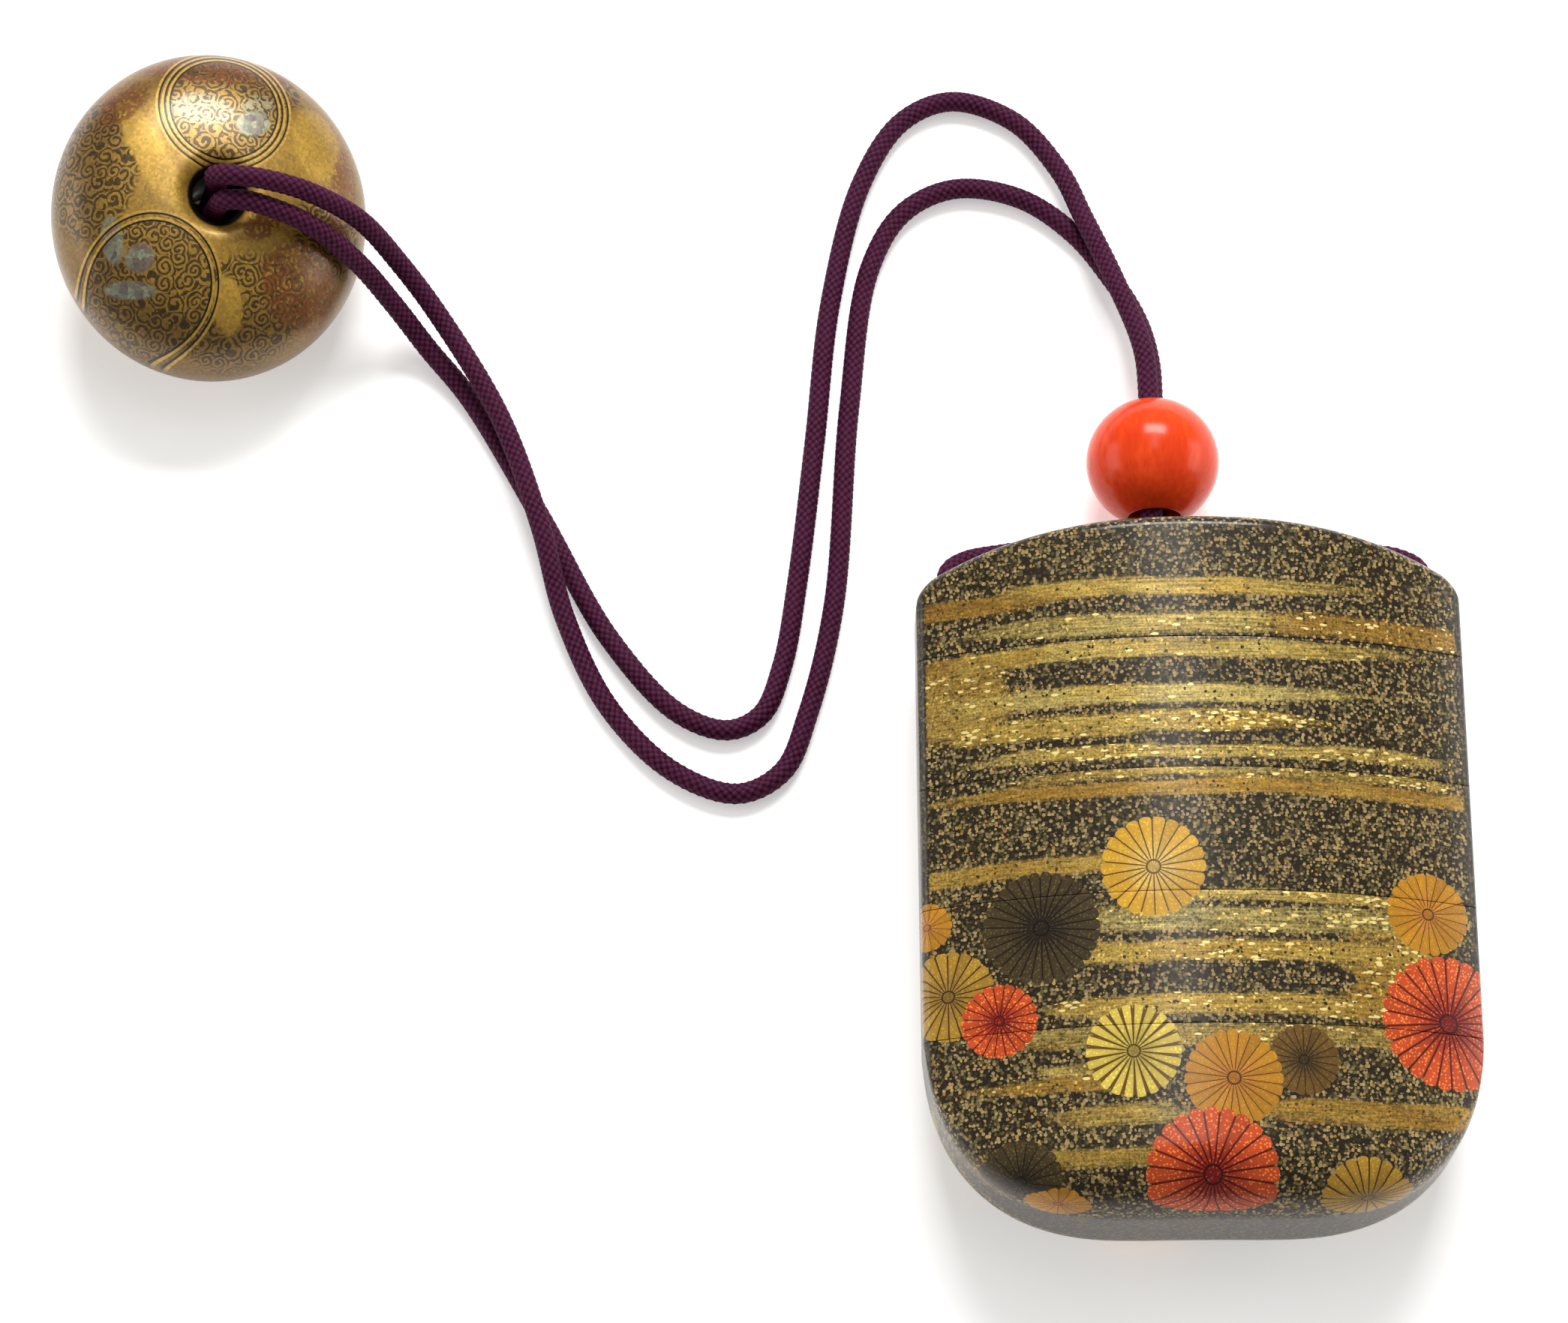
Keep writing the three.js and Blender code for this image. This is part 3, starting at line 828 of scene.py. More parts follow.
def chrysanthemum_group() -> Tree:
    """Draws one flower in its own unit disc, as a node group.

    With r the distance from the middle and a the turn times the petals, f runs from 0 along a
    petal's middle to 1 between petals. The outline is r below PETAL_END less a share of f to the
    fourth. A line lies where the way across to the next petal, (1 - f) pi r / petals, is under the
    line's half width, and an open gap widens that with r.

    Returns:
        The group, with inputs Disc, Rim, Heart, Grain, Form and Speck, and outputs Color, Mask and Height.
    """
    tree = bpy.data.node_groups.new("Chrysanthemum roundel", "ShaderNodeTree")
    for in_out, sockets in (("INPUT", FLOWER_INPUTS), ("OUTPUT", FLOWER_OUTPUTS)):
        for name, kind in sockets.items():
            tree.interface.new_socket(name, in_out=in_out, socket_type=f"NodeSocket{kind}")
    add = partial(add_node, tree)
    given = add("NodeGroupInput").outputs
    petals, line_half, opening = add("SeparateXYZ", given["Form"]).outputs
    across, up, _ = add("SeparateXYZ", given["Disc"]).outputs
    radius = add("VectorMath LENGTH", given["Disc"])
    turn = add("Math MULTIPLY", add("Math ARCTAN2", up, across), 0.5 / math.pi)
    place = add("Math MULTIPLY", turn, petals)
    f = add("Math MULTIPLY", add("Math PINGPONG", place, 0.5), 2.0)
    outline = add("Math MULTIPLY_ADD", add("Math POWER", f, 4.0), PETAL_NOTCH, PETAL_END)
    mask = add("Math LESS_THAN", radius, outline)

    way = add("Math MULTIPLY", add("Math SUBTRACT", 1.0, f), radius)
    way = add("Math MULTIPLY", add("Math DIVIDE", way, petals), math.pi)
    opened = add("Math DIVIDE", add("Math MULTIPLY", radius, opening), petals)
    width = add("Math MULTIPLY_ADD", add("Math MULTIPLY", opened, radius), math.pi, line_half)
    drawn_in = add("Math SMOOTH_MIN", add("Math MULTIPLY", radius, LINE_TAPER[0]), *LINE_TAPER[1:])
    width = add("Math MULTIPLY", width, drawn_in)
    ring = add("Math COMPARE", radius, HEART_RING, HEART_LINE)
    line = add("Math MAXIMUM", add("Math LESS_THAN", way, width), ring)

    petal = add("TexWhiteNoise", add("Math FLOOR", add("Math ADD", place, 0.5)), noise_dimensions="1D")
    outward = add("MapRange", radius, *HEART_FADE, interpolation_type="SMOOTHSTEP")
    colour = add("Mix RGBA", outward, given["Heart"], given["Rim"])
    shade = add("Math MULTIPLY_ADD", petal, *PETAL_SHADE)
    shade = add("Math MULTIPLY", shade, add("Math MULTIPLY_ADD", f, *PETAL_EDGE))
    shaded = add("VectorMath SCALE", colour, shade)
    stipple = add("Math MULTIPLY", given["Speck"], given["Grain"])
    bright = add("VectorMath MULTIPLY_ADD", shaded, STIPPLE_GAIN, STIPPLE_LIGHT)
    shaded = add("Mix RGBA", stipple, shaded, bright)
    final = add("Mix RGBA", line, shaded, add("VectorMath MULTIPLY", colour, LINE_TINT))

    gap = add("Math MULTIPLY", line, add("Math GREATER_THAN", opening, OPEN_FORM))
    mask = add("Math MULTIPLY", mask, add("Math MULTIPLY_ADD", gap, -1.0, 1.0))
    height = add("Math MULTIPLY", mask, add("Math SUBTRACT", 1.0, line))
    add("NodeGroupOutput", links={"Color": final, "Mask": mask, "Height": height})
    return tree


@dataclass(frozen=True)
class TogidashiLacquer:
    """Black urushi sprinkled with gold powder, painted, covered and polished back flush.

    The eye sees a deep black ground full of fine olive-grey grains, solid gold where the powder is
    dense, and one clear gloss over everything. Grain sizes are in millimetres; real nashiji powder
    is near 0.1 to 0.3 mm, and the ground's grains, the flakes and the leaf are drawn up to twice as
    coarse so that they show. A noise is a stretch, in cycles a millimetre, and its detail. A pair
    of numbers is what a value is multiplied by and what is then added. An edge is how far from its
    middle a grain reaches, as a share of its cell.
    """

    name: str = "togidashi maki-e lacquer"
    grain: float = 0.34
    powder: float = 0.2
    flake: float = 0.46
    leaf: float = 0.5
    black: str = "#231b0e"
    flake_gold: str = "#e3bf5c"
    leaf_gold: str = "#f2dc8e"
    sunk_brown: str = "#2c2412"
    ground_tints: tuple[tuple[float, str], ...] = (
        (0.0, "#1a140a"), (0.3, "#392e1a"), (0.5, "#5c5232"),
        (0.75, "#8c7a4f"), (0.93, "#b29763"), (1.0, "#976c28"),
    )
    gold_tints: tuple[tuple[float, str], ...] = (
        (0.0, "#b1a160"), (0.35, "#aa8e42"), (0.7, "#96702a"), (1.0, "#65431a"),
    )
    noises: tuple[tuple[tuple[float, ...], float], ...] = (
        ((0.09, 1.5, 0.6), 3.0), ((0.16, 4.6, 1.8), 2.0), ((0.09, 0.3, 0.1), 1.0),
    )
    fleck_share: float = 0.9
    fleck_edge: float = 0.62
    speck_edge: float = 0.33
    # How far the ground's flecks thin on the strip: painted shade on the narrow sides and the base's end.
    strip_shade_thinning: tuple[float, float] = (-0.7, 1.0)
    streak_cover: tuple[float, float] = (1.3, 0.35)
    thread_cover: tuple[float, float] = (1.5, 0.25)
    haze_gain: float = 1.3
    grain_bite: float = -0.5
    tone_start: float = 0.35
    grain_tone: float = 0.2
    drift_tone: float = 0.5
    grain_shade: tuple[float, float] = (0.75, 0.62)
    thread_shade: tuple[float, float] = (1.3, 0.38)
    flake_share: float = 0.45
    flake_middle: float = 0.45
    flake_ragged: float = 0.9
    flake_edge: tuple[float, float] = (0.3, 0.14)
    leaf_turns: tuple[float, float] = (0.5, -0.45)
    leaf_stretch: tuple[float, float, float] = (0.45, 1.25, 0.8)
    leaf_drift: tuple[float, float] = (2.4, -0.9)
    leaf_share: float = 0.5
    leaf_edge: float = 0.42
    leaf_haze: float = 0.3
    sunk_share: tuple[float, float] = (0.25, 0.16)
    sunk_edge: tuple[float, float] = (0.35, 0.12)
    gold_metal: float = 0.3
    relief: float = 0.04
    roughness: float = 0.4
    specular: float = 0.15
    coat: float = 0.38
    coat_roughness: float = 0.17

    def build(self) -> bpy.types.Material:
        """Makes the material, which reads the tiers' attributes and Object coordinates.

        Returns:
            The finish of all five tiers.
        """
        material, add = new_material(self.name)
        place = add("VectorMath SCALE", add("TexCoord").outputs["Object"], 1 / MM)
        grains = add("TexVoronoi", links={"Vector": place, "Scale": 1 / self.grain})
        base = self.ground(add, grains)
        base, metal = self.gold(add, place, base)
        speck = add("Math LESS_THAN", grains.outputs["Distance"], self.speck_edge)
        base, metal, raised = self.flowers(add, base, metal, speck)
        bare = add("Math GREATER_THAN", add("Attribute", attribute_name="inside").outputs["Fac"], 0.5)
        covered = add("Math SUBTRACT", 1.0, bare)
        height = add("Math MULTIPLY", raised, covered)
        surface = {
            "Base Color": add("Mix RGBA", bare, base, linear(self.black)),
            "Metallic": add("Math MULTIPLY", metal, covered),
            "Normal": add("Bump", links={"Strength": 0.5, "Distance": self.relief * MM, "Height": height}),
            "Roughness": self.roughness,
            "Specular IOR Level": self.specular,
            "Coat Weight": self.coat,
            "Coat Roughness": self.coat_roughness,
        }
        add("OutputMaterial", add("BsdfPrincipled", links=surface))
        return material

    def ground(self, add: Adder, cell: Any) -> Any:
        """Sprinkles the black with grains of many tints, thinner on the narrow sides.

        Args:
            add: add_node for the material's tree.
            cell: the ground's grains.

        Returns:
            The node that gives the colour.
        """
        pick, tint, _ = add("SeparateColor", cell.outputs["Color"]).outputs
        inside = add("Math LESS_THAN", cell.outputs["Distance"], self.fleck_edge)
        fleck = add("Math MULTIPLY", add("Math LESS_THAN", pick, self.fleck_share), inside)
        strip = add("Attribute", attribute_name="strip").outputs["Fac"]
        # Painted shade: the flecks thin on the strip, the narrow sides and the lower part of the base's end.
        fleck = add("Math MULTIPLY", fleck, add("Math MULTIPLY_ADD", strip, *self.strip_shade_thinning))
        return add("Mix RGBA", fleck, linear(self.black), add("ValToRGB", tint, stops=self.ground_tints))

    def gold(self, add: Adder, place: Any, base: Any) -> tuple[Any, Any]:
        """Lays the haze of powder, then flakes, cut leaf and specks that sank into the lacquer.

        The powder is laid where the haze, streaked by two long noises, is above a random number for
        each grain. A flake lies where its own number is under the band's share, inside a ragged edge.

        Args:
            add: add_node for the material's tree.
            place: Object coordinates in millimetres.
            base: the colour below.

        Returns:
            The nodes that give the colour and how metallic it is.
        """
        haze, tone, share = (
            add("Attribute", attribute_name=name).outputs["Fac"] for name in ("haze", "tone", "flake")
        )
        stretched = [(add("VectorMath MULTIPLY", place, stretch), detail) for stretch, detail in self.noises]
        streak, thread, drift = (
            add("TexNoise", links={"Vector": way, "Scale": 1.0, "Detail": detail})
            for way, detail in stretched
        )
        powder, flakes = (
            add("TexVoronoi", links={"Vector": place, "Scale": 1 / size})
            for size in (self.powder, self.flake)
        )
        fine, coarse = (add("SeparateColor", cell.outputs["Color"]).outputs for cell in (powder, flakes))

        streaked = add("Math MULTIPLY_ADD", streak, *self.streak_cover)
        streaked = add("Math MULTIPLY", streaked, add("Math MULTIPLY_ADD", thread, *self.thread_cover))
        streaked = add("Math MULTIPLY", add("Math MULTIPLY", streaked, haze), self.haze_gain)
        laid = add("Clamp", add("Math MULTIPLY_ADD", fine[0], self.grain_bite, streaked))
        tone = add("Math MULTIPLY_ADD", fine[1], self.grain_tone, add("Math SUBTRACT", tone, self.tone_start))
        tone = add("Math MULTIPLY_ADD", drift, self.drift_tone, tone)
        shade = add("Math MULTIPLY_ADD", fine[2], *self.grain_shade)
        shade = add("Math MULTIPLY", shade, add("Math MULTIPLY_ADD", thread, *self.thread_shade))
        powdered = add("VectorMath SCALE", add("ValToRGB", tone, stops=self.gold_tints), shade)
        base = add("Mix RGBA", laid, base, powdered)

        ragged = add("TexNoise", links={"Vector": place, "Scale": 1 / self.powder, "Detail": 1.0})
        spread = add("Math SUBTRACT", flakes.outputs["Distance"], self.flake_middle)
        spread = add("Math MULTIPLY_ADD", ragged, self.flake_ragged, spread)
        chosen = add("Math MULTIPLY", add("Math MULTIPLY", share, self.flake_share), haze)
        inside = add("Math LESS_THAN", spread, add("Math MULTIPLY_ADD", coarse[1], *self.flake_edge))
        bright = add("Math MULTIPLY", add("Math LESS_THAN", coarse[0], chosen), inside)
        base = add("Mix RGBA", bright, base, linear(self.flake_gold))

        leaf = self.cut_leaf(add, place, add("Math MULTIPLY_ADD", drift, *self.leaf_drift), share)
        leaf = add("Math MULTIPLY", leaf, add("Math GREATER_THAN", haze, self.leaf_haze))
        base = add("Mix RGBA", leaf, base, linear(self.leaf_gold))
        bright = add("Math MAXIMUM", bright, leaf)

        least = add("Math SUBTRACT", 1.0, add("Math MULTIPLY_ADD", share, *self.sunk_share))
        sunk = add("Math MULTIPLY", add("Math GREATER_THAN", coarse[0], least), haze)
        inside = add("Math LESS_THAN", spread, add("Math MULTIPLY_ADD", coarse[1], *self.sunk_edge))
        sunk = add("Math MULTIPLY", sunk, inside)
        base = add("Mix RGBA", sunk, base, linear(self.sunk_brown))
        return base, add("Math MULTIPLY", add("Math MAXIMUM", laid, bright), self.gold_metal)

    def cut_leaf(self, add: Adder, place: Any, drift: Any, share: Any) -> Any:
        """Long slips of leaf, at two turns, where the drift is high.

        Args:
            add: add_node for the material's tree.
            place: Object coordinates in millimetres.
            drift: how much leaf a place takes.
            share: the band's share of flakes.

        Returns:
            The node that is 1 on a slip.
        """
        slips = []
        for turn in self.leaf_turns:
            way = {"Vector": place, "Rotation": (0, 0, turn), "Scale": self.leaf_stretch}
            cut = add("Mapping", links=way)
            pieces = add("TexVoronoi", links={"Vector": cut, "Scale": 1 / self.leaf})
            pick = add("SeparateColor", pieces.outputs["Color"]).outputs[0]
            some = add("Math MULTIPLY", drift, add("Math MULTIPLY", share, self.leaf_share))
            inside = add("Math LESS_THAN", pieces.outputs["Distance"], self.leaf_edge)
            slips.append(add("Math MULTIPLY", add("Math LESS_THAN", pick, some), inside))
        return add("Math MAXIMUM", *slips)

    def flowers(self, add: Adder, base: Any, metal: Any, speck: Any) -> tuple[Any, Any, Any]:
        """Paints the flower roundels over the gold, the lower layer first.

        Args:
            add: add_node for the material's tree.
            base: the colour below.
            metal: how metallic it is.
            speck: 1 on the grains that stipple a flower.

        Returns:
            The nodes that give the colour, how metallic it is, and what stands up.
        """
        group = chrysanthemum_group()
        heights = []
        for layer in reversed(LAYERS):
            names = (f"{name}_{layer}" for name in ("rim", "heart", "form"))
            rim, heart, form = (add("Attribute", attribute_name=name).outputs for name in names)
            given = {
                "Disc": add("UVMap", uv_map=f"disc_{layer}"),
                "Rim": rim["Color"],
                "Heart": heart["Color"],
                "Grain": heart["Alpha"],
                "Form": form["Vector"],
                "Speck": speck,
            }
            flower = add("Group", links=given, node_tree=group).outputs
            base = add("Mix RGBA", flower["Mask"], base, flower["Color"])
            metal = add("Math MULTIPLY", metal, add("Math SUBTRACT", 1.0, flower["Mask"]))
            heights.append(flower["Height"])
        return base, metal, add("Math MAXIMUM", *heights)


# ------------------------------------------------------------------ the five tiers


class Role(Enum):
    """What a tier is in the stack."""

    BASE = "base"
    CASE = "case"
    LID = "lid"


@dataclass
class Tier:
    """One tier: a closed shell with a lip, a socket, a floor and a compartment as its role asks."""

    node: str
    role: Role
    low: float
    high: float
    rings: Rings
    riser: float = 4.0
    socket: float = 4.3
    floor: float = 1.3
    step: float = 0.32

    def wall(self) -> Rows:
        """Lines the outer skin between two joints, with both its edges eased.

        Returns:
            Rings, points and coordinates, in that order.
        """
        low, high = self.low + SEAM / 2, self.high - SEAM / 2
        below = self.rings.ease(OUTSIDE, low, -1)[::-1]
        above = self.rings.ease(OUTSIDE, high, 1)
        count = max(int((high - low) / self.step), 2)
        places = np.linspace(low + EASE, high - EASE, count + 1)[1:-1]
        between = np.stack([self.rings.level(OUTSIDE, y) for y in places])
        return np.concatenate([below, between, above])

    def lip(self) -> Rows:
        """Lines the joint's face, the riser, its rounded top and the way down to the compartment.

        Returns:
            Rings, points and coordinates, in that order.
        """
        joint, top = self.high - SEAM / 2, self.high + self.riser
        over = self.rings.ease(RISER, top, 1, 0.3)
        inner = self.rings.ease(CAVITY, top, 1, -0.2)[::-1]
        foot = self.rings.level(RISER, joint)[None]
        return np.concatenate([foot, over, inner])

    def hollow_below(self) -> Rows:
        """The socket under the tier: a ring at its roof and one at the joint."""
        joint = self.low + SEAM / 2
        return np.stack([self.rings.level(SOCKET, self.low + self.socket), self.rings.level(SOCKET, joint)])

    def all_rings(self) -> tuple[Rows, Rows]:
        """Every ring of the tier, in order along its section.

        Returns:
            The rings, and a number a point that is 1 on lips, sockets and inner walls.
        """
        rings, joint = self.rings, self.high - SEAM / 2
        if self.role is Role.BASE:
            wall = int((self.high - self.low) / self.step * ROLL_WALL_SHARE)
            skin = rings.cup(OUTSIDE, End.BASE, joint - EASE, wall=wall, turn=22, flat=8)[::-1]
            outer = np.concatenate([skin, rings.ease(OUTSIDE, joint, 1)])
            inner = rings.cup(CAVITY, End.BASE, self.high, wall=6, turn=8, flat=3)
            inside = np.concatenate([self.lip(), inner])
            bare = np.zeros(len(outer))
        elif self.role is Role.CASE:
            floor_y = self.low + self.socket + self.floor
            under = rings.floor(SOCKET, self.low + self.socket)[::-1]
            below = np.concatenate([under, self.hollow_below()])
            outer = np.concatenate([below, self.wall()])
            foot = rings.level(CAVITY, floor_y)[None]
            inside = np.concatenate([self.lip(), foot, rings.floor(CAVITY, floor_y)])
            bare = (np.arange(len(outer)) < len(below)).astype(float)
        else:
            low = self.low + SEAM / 2
            wall = int((self.high - self.low) / self.step * LID_WALL_SHARE)
            skin = rings.cup(OUTSIDE, End.LID, low + EASE, wall=wall, turn=8, flat=8)
            outer = np.concatenate([rings.ease(OUTSIDE, low, -1)[::-1], skin])[::-1]
            inner = rings.cup(CAVITY, End.LID, self.low + self.socket, wall=8, turn=4, flat=3)
            inside = np.concatenate([self.hollow_below()[::-1], inner])
            bare = np.zeros(len(outer))
        bare = np.concatenate([bare, np.ones(len(inside))])
        stack = np.concatenate([outer, inside])
        return stack, np.repeat(bare[:, None], stack.shape[1], axis=1)

    def bore(self, piece: bpy.types.Object, runners: bpy.types.Object) -> None:
        """Cuts the cord's runners out of the tier, and keeps the result as its own mesh.

        Args:
            piece: the tier.
            runners: the tunnels' shape.
        """
        cut = piece.modifiers.new("runners", "BOOLEAN")
        cut.operation, cut.solver, cut.object = "DIFFERENCE", "MANIFOLD", runners
        graph = bpy.context.evaluated_depsgraph_get()
        ready = piece.evaluated_get(graph)
        bored = bpy.data.meshes.new_from_object(ready, preserve_all_data_layers=True, depsgraph=graph)
        piece.modifiers.clear()
        piece.data = bored

    def build(
        self, lacquer: bpy.types.Material, decoration: Decoration, runners: bpy.types.Object
    ) -> bpy.types.Object:
        """Makes the tier's mesh, bores it, paints it and puts it in place.

        Args:
            lacquer: the case's finish.
            decoration: what is painted on it.
            runners: the shape of the cord's tunnels.

        Returns:
            The tier.
        """
        stack, bare = self.all_rings()
        points = stack.reshape(-1, 3)
        quads = ring_quads(stack.shape[0], stack.shape[1])
        values = decoration.powder(points, bare.reshape(-1))
        points, faces, values = weld(points, quads, values)
        points = points + np.array([0, 0, MIDDLE_Z])
        piece = build_mesh(f"{self.node}_lacquered", points, faces, values)
        self.bore(piece, runners)
        decoration.blooms(piece)
        piece.data.set_sharp_from_angle(angle=SHARP_EDGE)
        dress(piece, lacquer, "lacquer", self.node)
        return piece


TIERS = (
    ("base_case", Role.BASE, -38.5, -18.9),
    ("lower_case", Role.CASE, -18.9, -4.35),
    ("middle_case", Role.CASE, -4.35, 9.4),
    ("upper_case", Role.CASE, 9.4, 24.25),
    ("lid", Role.LID, 24.25, 38.5),
)


@dataclass
class Case:
    """The stack of tiers, from the base up to the lid."""

    finish: TogidashiLacquer
    tunnel_sides: int = 40

    def build(self) -> list[bpy.types.Object]:
        """Makes the five tiers in one finish.

        Returns:
            The tiers, from the base up to the lid.
        """
        lacquer, rings, runners = self.finish.build(), Rings(), self.runners()
        tiers = [Tier(*sizes, rings).build(lacquer, Decoration(), runners) for sizes in TIERS]
        bpy.data.objects.remove(runners)
        return tiers

    def runners(self) -> bpy.types.Object:
        """Makes the shape of the cord's tunnels: down a side, through the base's floor and up.

        The tube has the runners' radius above RUNNER_END and the narrower channel's below it.

        Returns:
            The tube, closed at both ends.
        """
        line = spline(held_route(HALF_LENGTH + 4), 0.5)
        width = CHANNEL_RADIUS + (RUNNER_RADIUS - CHANNEL_RADIUS) * (line[:, 1] > RUNNER_END)
        width[[0, -1]] = 0
        around = self.tunnel_sides
        rings = sweep(line, np.repeat(width[:, None], around, axis=1), around)
        points, faces, _ = weld(rings.reshape(-1, 3), ring_quads(len(line), around), {})
        return build_mesh("runners", points, faces, {"inside": np.ones(len(points))})


# ------------------------------------------------------------------ the cord

# The cord, and its knot: how far round it goes, how far up and down, and where its middle lies.
CORD_RADIUS = 1.2
KNOT_RADIUS, KNOT_RISE, KNOT_MIDDLE = 1.7, 3.1, -5.3
KNOT_POINTS, CURVE_STEPS = 60, 60
# How deep the cord lies in the base's floor, and where its runners narrow into the channel there.
CORD_DEPTH = 2.5
RUNNER_END, CHANNEL_RADIUS = -22.5, 1.55
CHANNEL_PLACES = (28.9, 28.0, 26.0, 23.0, 19.5, 14.5, 6.0)
LEFT_ROUTE = (
    (-26.5, 30.6, 11.7), (-26.5, 33.8, 11.7), (-26.1, 36.3, 11.2), (-24.2, 37.9, 10.3), (-20, 39, 9.5),
    (-15, 39.8, 9), (-8.4, 40.4, 8.8), (-4.6, 41.3, 8.9), (-3.1, 43.9, 8.85), (-3, 58, 8.85),
    (-3.4, 64.5, 8.1), (-6.2, 74, 5.9), (-9.4, 83, 3.4), (-12, 89.8, 1.8), (-17.2, 96.4, 1.25),
    (-24.4, 99, 1.25), (-30.2, 96.5, 1.25), (-35.1, 88.6, 1.25), (-38.9, 73.5, 1.25), (-40.9, 56, 1.25),
    (-43, 39, 1.25), (-44.8, 28.8, 1.25), (-47.2, 23, 1.25), (-51, 21.2, 1.25), (-56.6, 23.3, 1.25),
    (-64.4, 32.3, 1.25), (-72.2, 46.8, 1.25), (-80.6, 61.6, 1.25), (-85.4, 67.4, 2.4), (-89.2, 71.4, 6.2),
    (-93, 74.1, 12.3), (-97.6, 75.9, 18.3), (-101.6, 76.9, 20.8), (-104.8, 77.5, 21.8),
    (-107.1, 77.8, 21.2), (-108.4, 78.2, 18.2), (-110.5, 79.3, 9),
)
RIGHT_ROUTE = (
    (26.5, 30.6, 11.7), (26.5, 33.8, 11.7), (26.1, 36.3, 11.1), (24.2, 37.9, 10.1), (20, 39, 9.1),
    (15, 39.8, 8.2), (6, 40.3, 7), (1.4, 40.4, 6.5), (-1.1, 41.4, 6.2), (-2.3, 44.2, 6.2), (-2.3, 58, 6.2),
    (-2.4, 64.5, 4.7), (-3.6, 70.6, 2.6), (-6.4, 76.4, 1.3), (-10.4, 81.8, 1.25), (-16.6, 86.4, 1.25),
    (-24.2, 87.7, 1.25), (-30.2, 84.8, 1.25), (-34.3, 77.6, 1.25), (-36.9, 60, 1.25), (-38.9, 36, 1.25),
    (-41.9, 23.2, 1.25), (-44.8, 16.3, 1.25), (-49.8, 13.7, 1.25), (-57, 16.3, 1.25), (-64.4, 24, 1.25),
    (-69.4, 34.5, 2.2), (-72.2, 45, 4), (-77, 58.4, 4.1), (-84.2, 70.6, 5.2), (-88.5, 75.4, 9.2),
    (-92.4, 77.9, 15.2), (-97.6, 78.9, 20.7), (-102, 79.3, 23.2), (-105.6, 79.6, 23.9),
    (-108.1, 80.4, 22.2), (-108.4, 80.8, 18.8), (-110.5, 82.1, 9.4),
)


def held_route(start: float) -> Rows:
    """The cord's way through the case: down one runner, along the base's floor and up the other.

    Inside the base each place is offset square to the outline by CORD_DEPTH, so with slope s the
    offset moves it inward by depth * s / root(1 + s squared) and up by depth / root(1 + s squared).

    Args:
        start: where along the case both ends lie.

    Returns:
        Points in the case's frame, from the left end to the right.
    """
    x = np.array(CHANNEL_PLACES)
    slope = (bottom_edge(x + 0.01) - bottom_edge(x - 0.01)) / 0.02
    share = CORD_DEPTH / np.hypot(1, slope)
    right = [(RUNNER_X, start), (RUNNER_X, -20.5), *zip(x - slope * share, bottom_edge(x) + share)]
    right = np.array(right, dtype=float)
    left = right * np.array([-1, 1])
    flat = np.concatenate([left, right[::-1]])
    return np.column_stack([flat, np.full(len(flat), MIDDLE_Z)])


def spline(route: Any, step: float) -> Rows:
    """Points evenly along a centripetal Catmull-Rom curve through the route's points.

    A segment from b to c between a and d is b + u t + (3(c - b) - 2u - v) t2 + (2(b - c) + u + v) t3,
    where u and v are the tangents that knots spaced by the root of each chord give.

    Args:
        route: the points, in millimetres.
        step: how far apart the result is, in millimetres.

    Returns:
        Points, one a row.
    """
    points = np.array(route, dtype=float)
    padded = np.concatenate([2 * points[:1] - points[1:2], points, 2 * points[-1:] - points[-2:-1]])
    a, b, c, d = (padded[i : len(padded) - 3 + i] for i in range(4))
    chord = np.sqrt(np.linalg.norm(np.diff(padded, axis=0), axis=1))[:, None]
    before, here, after = chord[:-2], chord[1:-1], chord[2:]
    start = ((b - a) / before - (c - a) / (before + here) + (c - b) / here) * here
    end = ((c - b) / here - (d - b) / (here + after) + (d - c) / after) * here
    t = np.linspace(0, 1, CURVE_STEPS, endpoint=False)[None, :, None]
    b, c, start, end = (value[:, None] for value in (b, c, start, end))
    curve = b + start * t + (3 * (c - b) - 2 * start - end) * t**2 + (2 * (b - c) + start + end) * t**3
    curve = np.concatenate([curve.reshape(-1, 3), padded[-2:-1]])
    along = np.concatenate([[0], np.cumsum(np.linalg.norm(np.diff(curve, axis=0), axis=1))])
    places = np.linspace(0, along[-1], max(int(along[-1] / step), 8) + 1)
    return np.stack([np.interp(places, along, curve[:, i]) for i in range(3)], axis=1)


def steady_frames(line: Rows) -> tuple[Rows, Rows]:
    """Two directions square to a line that don't turn about it, so a pattern runs on evenly.

    A first pair leans on the upright; the turn that carrying it from place to place would add is
    measured between neighbours, summed up, and taken back.

    Args:
        line: points, one a row.

    Returns:
        The two unit directions at each point.
    """
    tangent = np.gradient(line, axis=0)
    tangent /= np.linalg.norm(tangent, axis=1)[:, None]
    steep = np.abs(tangent[:, 2:]) > 0.9
    upright = np.where(steep, np.array([1.0, 0, 0]), np.array([0, 0, 1.0]))
    side = np.cross(upright, tangent)
    side /= np.linalg.norm(side, axis=1)[:, None]
    other = np.cross(tangent, side)
    middle = tangent[:-1] + tangent[1:]
    middle /= np.linalg.norm(middle, axis=1)[:, None]
    tilt = np.einsum("ij,ij->i", side[:-1], tangent[1:])[:, None]
    facing_on = np.maximum(np.einsum("ij,ij->i", middle, tangent[1:])[:, None], 0.1)
    carried = side[:-1] - tilt * middle / facing_on
    turn = np.arctan2(np.einsum("ij,ij->i", carried, other[1:]), np.einsum("ij,ij->i", carried, side[1:]))
    total = np.concatenate([[0], np.cumsum(turn)])[:, None]
    return side * np.cos(total) + other * np.sin(total), other * np.cos(total) - side * np.sin(total)


